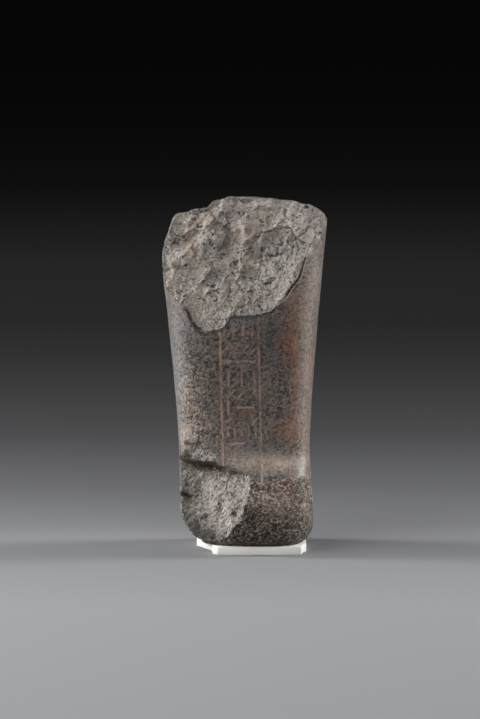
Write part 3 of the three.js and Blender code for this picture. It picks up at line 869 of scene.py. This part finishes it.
def rings_inwards(loop):
    """Ever smaller rings inside a loop down to its middle, each with its points' distances from the loop."""
    middle = loop.mean(axis=0)
    reach = np.linalg.norm((loop - middle)[:, [0, 2]], axis=1)
    rings = round(reach.mean() / BREAK_STEP)
    around = np.linalg.norm(np.roll(loop, -1, axis=0) - loop, axis=1).sum() / BREAK_STEP
    flats = []
    for k in range(1, rings):
        shrink = 1 - k / rings
        count = max(FEWEST_IN_RING, round(around * shrink))
        edge = along_loop(loop, np.arange(count) / count)
        flats.append((mix(edge, middle, 1 - shrink), np.linalg.norm(edge - middle, axis=1) * (1 - shrink)))
    flats.append((middle[None], np.array([STONE_HEIGHT])))
    return flats


def fine_fracture(points, inwards, hollow, marks):
    """How far each point of the break sinks by pits, shells, facets and grain. Adds painted highlight and
    painted shade to the marks where shells and facets meet.
    """
    x, height = points[:, 0], points[:, 2]
    sinking = BREAK_PITS["depth"] * hollow * smoothstep(0, PITS_FROM_RIM, inwards)
    along, across = along_lineation(x, height)
    calm = mix(CALM_FOOT, 1, smoothstep(*CALM_RISE, height))
    for number, (cell, tilt, deep) in enumerate(BREAK_SHELLS):
        level = shells(along, across, cell, tilt, number)
        if number == 0:
            level *= calm
        sinking += deep * (level - level.mean()) * smoothstep(0, cell / FORM_FADE, inwards)
        # ridges of the large shells get painted highlight, those of the small shells painted shade
        if number < LARGE_KINDS:
            pale = smoothstep(*PALE_EDGES["levels"], level)
            marks["tone"] += RIDGE_PAINTED_HIGHLIGHT * (pale - PALE_EDGES["less"])
        else:
            dark = smoothstep(*DARK_CRESTS["levels"], level)
            marks["dusk"] += CREST_PAINTED_SHADE * (dark - DARK_CRESTS["less"])
    for number, (cell, step, tilt) in enumerate(BREAK_FACETS):
        depth, border = facets(along, across, cell, step, tilt, number + FACET_SEED)
        sinking += calm * depth * smoothstep(0, cell / FORM_FADE, inwards)
        # painted shade along the creases between the large facets
        if number < LARGE_KINDS:
            marks["dusk"] += BORDER_PAINTED_SHADE * (border - DARK_BORDERS_LESS)
    grain = layered_noise(points, BREAK_GRAIN[0], layers=2, seed=13)
    return sinking + BREAK_GRAIN[1] * grain * smoothstep(0, GRAIN_FROM_RIM, inwards)


def close_break(surface, rim):
    """Closes the tube with the rough break, in ever smaller rings round its middle."""
    loop = np.concatenate(surface.points)[rim]
    flats = rings_inwards(loop)
    flat = np.concatenate([ring for ring, _ in flats])
    inwards = np.concatenate([distance for _, distance in flats])
    x, height = flat[:, 0], flat[:, 2]
    relief = break_relief(x, height) * smoothstep(0, size(EDGE_CALM), inwards)
    marks = patch_marks(BREAK_PATCHES, x, height, 1)
    varied, wave = GAPE_WANDER
    gape = size(CRACK_HALF_WIDTH) * (1 + varied * flat_noise(x / wave, height / wave))
    away = np.abs(inwards - size(CRACK_MIDDLE)) / gape
    # the crack is cut as a groove and its shadow painted dark
    marks["crack"] = clamp(marks["crack"], 0, 1) * clamp(CRACK_SOFTNESS - away, 0, 1)
    relief += size(CRACK_DEPTH) * marks["crack"] + HOLLOW_DEPTH * marks["dusk"]
    deepest = back_y(x, height) - size(THIN_EDGE)
    y = np.minimum(film_depth(loop, x, height) + relief, deepest)
    points = np.stack([x, y, height], axis=1)
    hollow = pits(points, BREAK_PITS["spacing"], BREAK_PITS["share"], BREAK_PITS["reach"], seed=41)
    points = points + fine_fracture(points, inwards, hollow, marks)[:, None] * INTO_STONE
    numbers = surface.add(points, raw=1.0, hollow=hollow, **marks)
    outer = rim
    first = 0
    for ring, _ in flats[:-1]:
        inner = numbers[first:first + len(ring)]
        surface.strip(outer, inner)
        outer = inner
        first += len(ring)
    surface.fan(outer, numbers[-1])


def own_to_row():
    """Shift from the stone's own frame to the frame of the solids, in millimetres."""
    low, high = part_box("fitted_pad")
    middle = (np.array(low) + np.array(high)) / 2 / MILLIMETRE
    own = pad_corners()
    own_middle = (own.min(axis=0) + own.max(axis=0)) / 2
    return np.array([middle[0] - own_middle[0], middle[1] - own_middle[1], 0])


# Outline of the pad, as shares of the feet's half width and of their depth on that side
PAD_OUTLINE = [
    (-0.47, -0.82), (-0.4, -0.88), (0, -0.93), (0.5, -0.92), (0.86, -0.86), (0.89, -0.66), (0.93, -0.6),
    (0.93, -0.1), (0.8, 0.62), (0.5, 0.84), (-0.45, 0.84), (-0.7, 0.47), (-0.72, -0.08), (-0.49, -0.54),
]


def pad_corners():
    return np.array([
        (across * FOOT_HALF_WIDTH, back * (FOOT_FRONT if back < 0 else FOOT_BACK))
        for across, back in PAD_OUTLINE
    ])


def build_mesh(name, points, faces, marks=None):
    mesh = bpy.data.meshes.new(name)
    placed = (points + own_to_row()) * MILLIMETRE
    mesh.from_pydata(placed.tolist(), [], [tuple(int(n) for n in face) for face in faces])
    for mark, values in (marks or {}).items():
        layer = mesh.attributes.new(mark, "FLOAT", "POINT")
        layer.data.foreach_set("value", np.asarray(values, np.float32))
    mesh.polygons.foreach_set("use_smooth", np.ones(len(mesh.polygons), bool))
    mesh.update()
    piece = bpy.data.objects.new(name, mesh)
    bpy.context.scene.collection.objects.link(piece)
    return piece


def crease(mesh, ring):
    """Keeps the edges along a ring of vertices sharp."""
    ends = np.empty(len(mesh.edges) * 2, np.int32)
    mesh.edges.foreach_get("vertices", ends)
    on_ring = np.isin(ends.reshape(-1, 2), ring).all(axis=1)
    sharp = mesh.attributes.new("sharp_edge", "BOOLEAN", "EDGE")
    sharp.data.foreach_set("value", on_ring)


def make_stone():
    surface = Surface()
    rows = tube(surface)
    close_break(surface, rows[-1])
    sole_middle = surface.add(np.array([[0, (FOOT_BACK - FOOT_FRONT) / 2, 0]]), foot=1.0)
    surface.fan(rows[0][::-1], sole_middle[0])
    points = np.concatenate(surface.points) + np.array([0, 0, PAD_THICKNESS])
    marks = {name: np.concatenate(parts) for name, parts in surface.marks.items()}
    stone = build_mesh("statuette_stone", points, surface.faces, marks)
    crease(stone.data, rows[-1])
    return stone


PAD_STEP = 0.5  # between points along the pad's cut edge
PAD_EDGE = 0.22  # rounding of its edge
PAD_BEVEL = 0.3 * PAD_EDGE
PAD_PROFILE = [
    (PAD_EDGE, 0), (PAD_BEVEL, PAD_BEVEL), (0, PAD_EDGE), (0, PAD_THICKNESS / 2),
    (0, PAD_THICKNESS - PAD_EDGE), (PAD_BEVEL, PAD_THICKNESS - PAD_BEVEL), (PAD_EDGE, PAD_THICKNESS),
]  # distance inwards and height
PAD_WANDER = dict(reach=0.09, wave=2.1, upwards=3)  # how far the knife wandered


def make_pad():
    corners = pad_corners()
    edge = []
    for start, end in zip(corners, np.roll(corners, -1, axis=0)):
        steps = max(2, round(np.linalg.norm(end - start) / PAD_STEP))
        edge.extend(mix(start, end, k / steps) for k in range(steps))
    edge = np.array(edge)
    middle = corners.mean(axis=0)
    inwards = (middle - edge) / np.linalg.norm(middle - edge, axis=1)[:, None]
    across, back = edge[:, 0] / PAD_WANDER["wave"], edge[:, 1] / PAD_WANDER["wave"]
    surface = Surface()
    rows = []
    for inset, height in PAD_PROFILE:
        wander = PAD_WANDER["reach"] * (1 + flat_noise(across + height / PAD_WANDER["upwards"], back))
        ring = edge + inwards * (inset + wander)[:, None]
        rows.append(surface.add(np.column_stack([ring, np.full(len(ring), height)])))
    surface.grid(rows)
    surface.faces.append(tuple(rows[0][::-1]))
    surface.faces.append(tuple(rows[-1]))
    return build_mesh("cut_pad", np.concatenate(surface.points), surface.faces)


GRAIN_WOBBLE = 0.7  # waves of the crystals' wobble in the size of one crystal


class Shader:
    """Node tree of one material, with short calls for the nodes in it. Sizes are in millimetres."""

    def __init__(self, name):
        self.material = bpy.data.materials.new(name)
        self.material.use_nodes = True
        self.tree = self.material.node_tree
        self.surface = self.tree.nodes["Principled BSDF"]
        self.coords = self.tree.nodes.new("ShaderNodeTexCoord").outputs["Object"]

    def put(self, socket, value):
        if isinstance(value, bpy.types.NodeSocket):
            self.tree.links.new(value, socket)
        else:
            socket.default_value = value

    def fill(self, values):
        for name, value in values.items():
            self.put(self.surface.inputs[name], value)

    def node(self, kind, inputs, **settings):
        node = self.tree.nodes.new("ShaderNode" + kind)
        for name, value in settings.items():
            setattr(node, name, value)
        sockets = {socket.identifier: socket for socket in node.inputs}
        for name, value in inputs.items():
            self.put(sockets[name], value)
        return node

    def mark(self, name):
        return self.node("Attribute", {}, attribute_name=name, attribute_type="GEOMETRY").outputs["Fac"]

    def noise(self, wave, detail=2.0, rough=0.5, stretch=None):
        coords = self.coords
        if stretch:
            inputs = {"Vector": coords, "Scale": stretch[0], "Rotation": stretch[1]}
            coords = self.node("Mapping", inputs, vector_type="TEXTURE")
            coords = coords.outputs["Vector"]
        inputs = {"Vector": coords, "Scale": 1 / (wave * MILLIMETRE), "Detail": detail, "Roughness": rough}
        return self.node("TexNoise", inputs).outputs["Fac"]

    def grains(self, cell, wander):
        """Crystals side by side: a number for each, and how near a place is to its crystal's middle."""
        inputs = {"Vector": self.coords, "Scale": GRAIN_WOBBLE / (cell * MILLIMETRE), "Detail": 2.0}
        wobble = self.node("TexNoise", inputs).outputs["Color"]
        reach = tuple([wander * MILLIMETRE] * 3)
        shift = self.node("VectorMath", {"Vector": wobble, "Vector_001": reach}, operation="MULTIPLY")
        inputs = {"Vector": self.coords, "Vector_001": shift.outputs["Vector"]}
        moved = self.node("VectorMath", inputs, operation="ADD").outputs["Vector"]
        cells = self.node("TexVoronoi", {"Vector": moved, "Scale": 1 / (cell * MILLIMETRE)})
        number = self.node("SeparateColor", {"Color": cells.outputs["Color"]}).outputs["Red"]
        return number, self.math("SUBTRACT", 1.0, cells.outputs["Distance"])

    def math(self, operation, a, b=0.0, limit=False):
        node = self.node("Math", {"Value": a, "Value_001": b}, operation=operation, use_clamp=limit)
        return node.outputs["Value"]

    def span(self, value, low, high, to_low=0.0, to_high=1.0):
        """Takes a value from one range to another, stopping at its ends."""
        inputs = {"Value": value, "From Min": low, "From Max": high, "To Min": to_low, "To Max": to_high}
        return self.node("MapRange", inputs, clamp=True).outputs["Result"]

    def ramp(self, value, stops):
        node = self.node("ValToRGB", {"Fac": value})
        band = node.color_ramp
        while len(band.elements) < len(stops):
            band.elements.new(0.5)
        for element, (at, colour) in zip(band.elements, stops):
            element.position = at
            element.color = (*colour, 1)
        return node.outputs["Color"]

    def blend(self, share, a, b, kind="MIX"):
        a, b = ((*c, 1) if isinstance(c, tuple) and len(c) == 3 else c for c in (a, b))
        inputs = {"Factor_Float": share, "A_Color": a, "B_Color": b}
        node = self.node("Mix", inputs, data_type="RGBA", blend_type=kind)
        return next(s for s in node.outputs if s.identifier == "Result_Color")

    def layered(self, colour, fields, layers):
        for mark, field, low, high, at_low, at_high, tint in layers:
            share = self.span(fields[field], low, high, at_low, at_high)
            if mark:
                share = self.math("MULTIPLY", self.mark(mark), share, limit=True)
            colour = self.blend(share, colour, tint)
        return colour

    def bump(self, height, strength, depth, over=None):
        inputs = {"Height": height, "Strength": strength, "Distance": depth * MILLIMETRE}
        if over:
            inputs["Normal"] = over
        return self.node("Bump", inputs).outputs["Normal"]


# Colours, as linear light. The lists of crystals have their colours, each at its share of them.
SKIN_BLACK = (0.004, 0.009, 0.018)
SKIN_GRAINS = [
    (0.0, (0.03, 0.027, 0.026)), (0.3, (0.1, 0.077, 0.063)), (0.48, (0.1, 0.108, 0.118)),
    (0.62, (0.155, 0.118, 0.09)), (0.8, (0.2, 0.155, 0.12)), (0.9, (0.21, 0.125, 0.083)),
    (0.97, (0.27, 0.228, 0.19)),
]
CHIP_GRAINS = [
    (0.0, (0.02, 0.018, 0.016)), (0.25, (0.08, 0.07, 0.06)), (0.4, (0.18, 0.17, 0.16)),
    (0.6, (0.3, 0.272, 0.237)), (0.85, (0.42, 0.385, 0.34)),
]
FOOT_GRAINS = [
    (0.0, (0.03, 0.023, 0.018)), (0.25, (0.09, 0.067, 0.05)), (0.5, (0.19, 0.15, 0.12)),
    (0.7, (0.33, 0.275, 0.225)), (0.9, (0.44, 0.38, 0.32)),
]
SKIN_TAN = (0.31, 0.25, 0.2)
UMBER = (0.2, 0.105, 0.06)
# dust, and painted sheen
DUST_AND_SHEEN_TAN = (0.37, 0.3, 0.245)
RUST = (0.5, 0.14, 0.06)
# bloom, and painted reflection of the lights
BLOOM_AND_REFLECTION_GREY = (0.17, 0.19, 0.21)
# scuffs and chips, and one painted highlight
SCUFF_AND_HIGHLIGHT_WHITE = (0.62, 0.6, 0.57)
BREAK_DARK = (0.15, 0.142, 0.134)
BREAK_PALE = (0.415, 0.364, 0.319)
BREAK_OCHRE = (0.34, 0.258, 0.19)
# painted shade on the break
BREAK_SHADE_GREY = (0.07, 0.074, 0.082)
CRYSTAL = (0.018, 0.02, 0.025)
CHIP_PALE = (0.5, 0.445, 0.39)
CHIP_GREY = (0.1, 0.09, 0.082)
FOOT_BLACK = (0.009, 0.008, 0.008)
FOOT_BROWN = (0.1, 0.077, 0.063)
INCISED_TAN = (0.46, 0.305, 0.235)
# grime, and painted shade in overhangs and cracks
GRIME_AND_SHADE_BROWN = (0.048, 0.032, 0.018)


# Noises: wave in millimetres, detail, roughness and stretch
NOISES = dict(
    speck=(0.7, 2.0, 0.65), fleck=(1.3, 2.0, 0.6), patch=(5, 2.0), faint=(3.5, 2.0), cloud=(14, 3.0),
    streak=(0.5, 3.0, 0.65, ((1, 1, 5), (0, math.radians(30), 0))), blot=(0.9, 3.0, 0.7),
    roughness=(0.8, 4.0, 0.75),
)
SMALL_CRYSTALS = (0.58, 0.5)  # size of a crystal and how far its border wanders
LARGE_CRYSTALS = (0.8, 0.8)

# Layers of colour: a mark or none, the field that the layer follows, that field's low and high end, the
# layer's shares at these two ends, and its tint
UMBER_LAYER = ("ochre", "grain", 0, 0.8, 0.5, 1, UMBER)
SKIN_LAYERS = [
    (None, "speck", 0.5, 0.66, 0, 0.24, SKIN_TAN),
    (None, "skin_dark", 0.25, 0.17, 0, 0.9, SKIN_BLACK),
    (None, "streak", 0.48, 0.62, 0, 0.3, SKIN_TAN),
    (None, "streak", 0.44, 0.34, 0, 0.45, SKIN_BLACK),
    UMBER_LAYER,
    ("dust", "grain", 0.1, 0.5, 0.5, 1, DUST_AND_SHEEN_TAN),
]
FOOT_LAYERS = [
    (None, "speck", 0.46, 0.36, 0, 0.7, FOOT_BROWN),
    (None, "crystal", 0.3, 0.25, 0, 0.9, FOOT_BLACK),
    (None, "fleck", 0.5, 0.36, 0, 0.6, FOOT_BLACK),
    UMBER_LAYER,
    ("dust", "grain", 0.1, 0.5, 0.3, 1, DUST_AND_SHEEN_TAN),
]
# rust, bloom with painted reflections, and the tan of the strokes
WORN_AND_REFLECTION_LAYERS = [
    ("rust", "blot", 0.52, 0.57, 0, 1, RUST),
    ("bloom", "speck", 0.42, 0.58, 0, 1, BLOOM_AND_REFLECTION_GREY),
    ("incised", "tan_left", 0, 1, 0, 1, INCISED_TAN),
]
BREAK_LAYERS = [
    (None, "speck", 0.34, 0.6, 0, 1, BREAK_PALE),
    (None, "grain", 0, 0.5, 0.3, 0, BREAK_DARK),
    (None, "yellow", 0, 1, 0, 1, BREAK_OCHRE),
    (None, "break_shade_share", 0, 1, 0, 1, BREAK_SHADE_GREY),
    (None, "break_dark", 0.04, 0, 0, 0.85, CRYSTAL),
]
CHIP_LAYERS = [
    (None, "streak", 0.36, 0.56, 0, 1, CHIP_PALE),
    (None, "grain", 0, 0.4, 0.55, 0, CHIP_GREY),
    (None, "crystal", 0.08, 0.05, 0, 0.7, CRYSTAL),
]
SCUFF_AND_HIGHLIGHT_LAYERS = [("scuff", "speck", 0.35, 0.5, 0, 1, SCUFF_AND_HIGHLIGHT_WHITE)]

# Other ranges: low and high end, and what they become, or else 0 and 1
SKIN_DARKER = dict(patch=(0.3, 0.7, -0.24, 0.2), fleck=(0.35, 0.65, -0.16, 0.16))
BREAK_DARKER = dict(patch=(0.35, 0.65, -0.18, 0.14), dusk=0.25)
YELLOW_BY_CLOUD = (0.46, 0.62, 0, 0.3)
TAN_LEFT = dict(fleck=(0.3, 0.5, 0.55, 1), faint=(0.38, 0.58, 0.35, 1))
CHIP_FLECKS = (0.3, 0.7)
SOIL_AND_SHADE_BY_SPECK = (0.4, 0.58, 1.4, 0.5)
POLISH_BY_SPECK = (0.35, 0.65, 0.32, 0.5)
DULL_WHEN_ROUGH = (0, 1, 0, 0.5)
RELIEF_WHEN_ROUGH = (0, 1, 0.1, 0.85)
CRYSTALS_WHEN_ROUGH = (0, 1, 0.06, 0.8)

# Shares, and depths of relief in millimetres
# how strongly painted shade darkens the break and the chip
SHADE_ON_BREAK = 0.3
SHADE_ON_CHIP = 0.6
CHIP_FLECK_SHARE = 0.5
# painted shade in the pits
PIT_PAINTED_SHADE = 0.4
SOIL_AND_SHADE_COVER = 0.94
FOOT_ROUGHNESS = 0.8
TONE_AND_LIGHT_BASE = 2.0  # each step of the mark of tone and painted light and shade makes the stone this many times paler
SPECULAR = 0.4
SHEEN = 0.06
SHEEN_ROUGHNESS = 0.45
STREAK_RELIEF = 0.45
DEPTHS = dict(roughness=0.9, crystals=0.4, streaks=0.6)


def stone_fields(shader):
    """Noises and numbers that the layers of colour follow."""
    fields = {name: shader.noise(*noise) for name, noise in NOISES.items()}
    fields["grain"], fields["nearness"] = shader.grains(*SMALL_CRYSTALS)
    crystal, _ = shader.grains(*LARGE_CRYSTALS)
    fields["crystal"] = crystal
    fields["dusk"] = dusk = shader.mark("dusk")
    patch, fleck, faint = fields["patch"], fields["fleck"], fields["faint"]
    darker = shader.math("ADD", crystal, shader.span(patch, *SKIN_DARKER["patch"]))
    fields["skin_dark"] = shader.math("ADD", darker, shader.span(fleck, *SKIN_DARKER["fleck"]))
    # on the break, dark crystals crowd where shade is painted
    darker = shader.math("ADD", crystal, shader.span(patch, *BREAK_DARKER["patch"]))
    under_painted_shade = shader.math("MULTIPLY", dusk, BREAK_DARKER["dusk"])
    fields["break_dark"] = shader.math("SUBTRACT", darker, under_painted_shade)
    fields["break_shade_share"] = shader.math("MULTIPLY", dusk, SHADE_ON_BREAK, limit=True)
    clouded = shader.span(fields["cloud"], *YELLOW_BY_CLOUD)
    fields["yellow"] = shader.math("ADD", clouded, shader.mark("ochre"), limit=True)
    tan_left = (shader.span(field, *TAN_LEFT[name]) for name, field in (("fleck", fleck), ("faint", faint)))
    fields["tan_left"] = shader.math("MULTIPLY", *tan_left)
    return fields


def chip_colour(shader, fields):
    colour = shader.layered(CHIP_GREY, fields, CHIP_LAYERS)
    mingled = shader.blend(CHIP_FLECK_SHARE, fields["grain"], shader.span(fields["fleck"], *CHIP_FLECKS))
    colour = shader.blend(shader.mark("fresh"), shader.ramp(mingled, CHIP_GRAINS), colour)
    # painted shade on the chip, in the feet's black
    darkened = shader.math("MULTIPLY", fields["dusk"], SHADE_ON_CHIP, limit=True)
    return shader.blend(darkened, colour, FOOT_BLACK)


def stone_colour(shader, fields, raw, chip, foot):
    colour = shader.layered(shader.ramp(fields["grain"], SKIN_GRAINS), fields, SKIN_LAYERS)
    foot_colour = shader.layered(shader.ramp(fields["grain"], FOOT_GRAINS), fields, FOOT_LAYERS)
    colour = shader.layered(shader.blend(foot, colour, foot_colour), fields, WORN_AND_REFLECTION_LAYERS)
    colour = shader.blend(raw, colour, shader.layered(BREAK_DARK, fields, BREAK_LAYERS))
    colour = shader.blend(chip, colour, chip_colour(shader, fields))
    # tone of the stone together with painted light and painted shade, as a factor of paleness
    colour = shader.blend(1.0, colour, shader.math("POWER", TONE_AND_LIGHT_BASE, shader.mark("tone")), "MULTIPLY")
    # painted shade in the pits
    colour = shader.blend(shader.math("MULTIPLY", shader.mark("hollow"), PIT_PAINTED_SHADE), colour, CRYSTAL)
    # grime, and painted shade under the chip's brow and in the crack at the rim, in one dark brown
    soiled_and_shaded = shader.math("MAXIMUM", shader.mark("grime"), shader.mark("crack"))
    soiled_and_shaded = shader.math("MULTIPLY", soiled_and_shaded, shader.span(fields["speck"], *SOIL_AND_SHADE_BY_SPECK), limit=True)
    colour = shader.blend(shader.math("MULTIPLY", soiled_and_shaded, SOIL_AND_SHADE_COVER), colour, GRIME_AND_SHADE_BROWN)
    return shader.layered(colour, fields, SCUFF_AND_HIGHLIGHT_LAYERS)


def stone_material():
    shader = Shader("dark_stone")
    fields = stone_fields(shader)
    raw, chip, foot = (shader.mark(name) for name in ("raw", "chip", "foot"))
    rough = shader.math("MAXIMUM", raw, shader.math("MULTIPLY", foot, FOOT_ROUGHNESS))
    polish = shader.span(fields["speck"], *POLISH_BY_SPECK)
    normal = None
    for height, strength, depth in (
        (fields["roughness"], shader.span(rough, *RELIEF_WHEN_ROUGH), DEPTHS["roughness"]),
        (fields["nearness"], shader.span(rough, *CRYSTALS_WHEN_ROUGH), DEPTHS["crystals"]),
        (fields["streak"], shader.math("MULTIPLY", chip, STREAK_RELIEF), DEPTHS["streaks"]),
    ):
        normal = shader.bump(height, strength, depth, over=normal)
    shader.fill({
        "Base Color": stone_colour(shader, fields, raw, chip, foot),
        "Roughness": shader.math("ADD", polish, shader.span(rough, *DULL_WHEN_ROUGH), limit=True),
        "Specular IOR Level": SPECULAR,
        "Sheen Weight": SHEEN,
        "Sheen Roughness": SHEEN_ROUGHNESS,
        "Normal": normal,
    })
    return shader.material


BOARD_WHITE = (0.93, 0.905, 0.87)
BOARD_GREY = (0.83, 0.805, 0.77)
FIBRES = (0.35, 4.0, 0.6)
SMUDGES = (6, 3.0)
GREY_BY_FIBRE = (0.3, 0.7, 0, 0.35)
GREY_BY_SMUDGE = (0.5, 0.75, 0, 0.3)
BOARD_ROUGHNESS_BY_SMUDGE = (0.3, 0.7, 0.7, 0.9)
FIBRE_RELIEF = dict(strength=0.35, depth=0.12)


def pad_material():
    shader = Shader("white_board")
    fibres = shader.noise(*FIBRES)
    smudge = shader.noise(*SMUDGES)
    colour = shader.blend(shader.span(fibres, *GREY_BY_FIBRE), BOARD_WHITE, BOARD_GREY)
    colour = shader.blend(shader.span(smudge, *GREY_BY_SMUDGE), colour, BOARD_GREY)
    shader.fill({
        "Base Color": colour,
        "Roughness": shader.span(smudge, *BOARD_ROUGHNESS_BY_SMUDGE),
        "Normal": shader.bump(fibres, **FIBRE_RELIEF),
    })
    return shader.material


# Studio, in metres
FLOOR_HALF = 6
FLOOR_PALE = (0.265, 0.2684, 0.2785)
PAINTED_FALLOFF = [
    (-0.12, 1.08), (-0.02, 0.88), (0.021, 0.83), (0.05, 0.665), (0.138, 0.42), (0.284, 0.212), (0.431, 0.15),
    (0.577, 0.113), (0.724, 0.1), (1.016, 0.165), (1.31, 0.143), (1.6, 0.083),
]  # painted falloff of light on the floor: distance behind the work, and how pale the floor is painted there
FLOOR_ROUGHNESS = 0.9
FLOOR_SPECULAR = 0.15
FLOOR_TOOTH = (1.6, 2.0)
TOOTH_RELIEF = dict(strength=0.1, depth=0.1)
WORLD_GREY = (0.02, 0.02, 0.021, 1)


def make_floor():
    mesh = bpy.data.meshes.new("studio_floor")
    h = FLOOR_HALF
    mesh.from_pydata([(-h, -h, 0), (h, -h, 0), (h, h, 0), (-h, h, 0)], [], [(0, 1, 2, 3)])
    floor = bpy.data.objects.new("studio_floor", mesh)
    bpy.context.scene.collection.objects.link(floor)
    shader = Shader("paper_with_painted_falloff")
    back = shader.node("SeparateXYZ", {"Vector": shader.coords}).outputs["Y"]
    near, far = PAINTED_FALLOFF[0][0], PAINTED_FALLOFF[-1][0]
    share = shader.span(back, near, far)
    # the floor is painted paler near the work and darker behind it, as a pool of light falls off
    stops = [((at - near) / (far - near), tuple(level * c for c in FLOOR_PALE)) for at, level in PAINTED_FALLOFF]
    shader.fill({
        "Base Color": shader.ramp(share, stops),
        "Roughness": FLOOR_ROUGHNESS,
        "Specular IOR Level": FLOOR_SPECULAR,
        "Normal": shader.bump(shader.noise(*FLOOR_TOOTH), **TOOTH_RELIEF),
    })
    mesh.materials.append(shader.material)


# Camera, in metres, with its sensor in millimetres
CAMERA_DISTANCE = 1.5
CAMERA_ELEVATION = math.radians(7)
CAMERA_TARGET = (-0.0016, 0, 0.0674)
FIELD_HEIGHT = 0.2568  # of what the picture shows at the work
SENSOR = 36


def make_camera():
    data = bpy.data.cameras.new("camera")
    data.sensor_width = SENSOR
    data.lens = SENSOR * CAMERA_DISTANCE / FIELD_HEIGHT
    camera = bpy.data.objects.new("camera", data)
    bpy.context.scene.collection.objects.link(camera)
    back = Vector((0, -math.cos(CAMERA_ELEVATION), math.sin(CAMERA_ELEVATION)))
    camera.location = Vector(CAMERA_TARGET) + back * CAMERA_DISTANCE
    camera.rotation_euler = (-back).to_track_quat("-Z", "Y").to_euler()
    bpy.context.scene.camera = camera


# Lights: place and target, width and height in metres, and watts
LIGHTS = dict(
    key=((-0.62, -0.42, 0.9), (0, 0, 0.08), (0.9, 0.9), 8.5),
    left_box=((-0.8, 0.12, 0.36), (0, 0, 0.07), (0.2, 0.6), 9),
    right_box=((0.8, 0.14, 0.34), (0, 0, 0.06), (0.2, 0.6), 8),
    front_fill=((0.3, -1.4, 0.4), (0, 0, 0.06), (0.8, 0.8), 5),
)


def make_lights():
    for name, (spot, target, (width, height), watts) in LIGHTS.items():
        data = bpy.data.lights.new(name, "AREA")
        data.shape = "RECTANGLE"
        data.size, data.size_y = width, height
        data.energy = watts
        lamp = bpy.data.objects.new(name, data)
        lamp.location = spot
        lamp.rotation_euler = (Vector(target) - Vector(spot)).to_track_quat("-Z", "Y").to_euler()
        bpy.context.scene.collection.objects.link(lamp)
    world = bpy.data.worlds.new("studio")
    world.use_nodes = True
    world.node_tree.nodes["Background"].inputs["Color"].default_value = WORLD_GREY
    bpy.context.scene.world = world
    bpy.context.scene.view_settings.view_transform = "Standard"


stone = make_stone()
stone.data.materials.append(stone_material())
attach(stone, "root")
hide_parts("stone_fragment")

pad = make_pad()
pad.data.materials.append(pad_material())
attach(pad, "root")
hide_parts("fitted_pad")

make_floor()
make_camera()
make_lights()
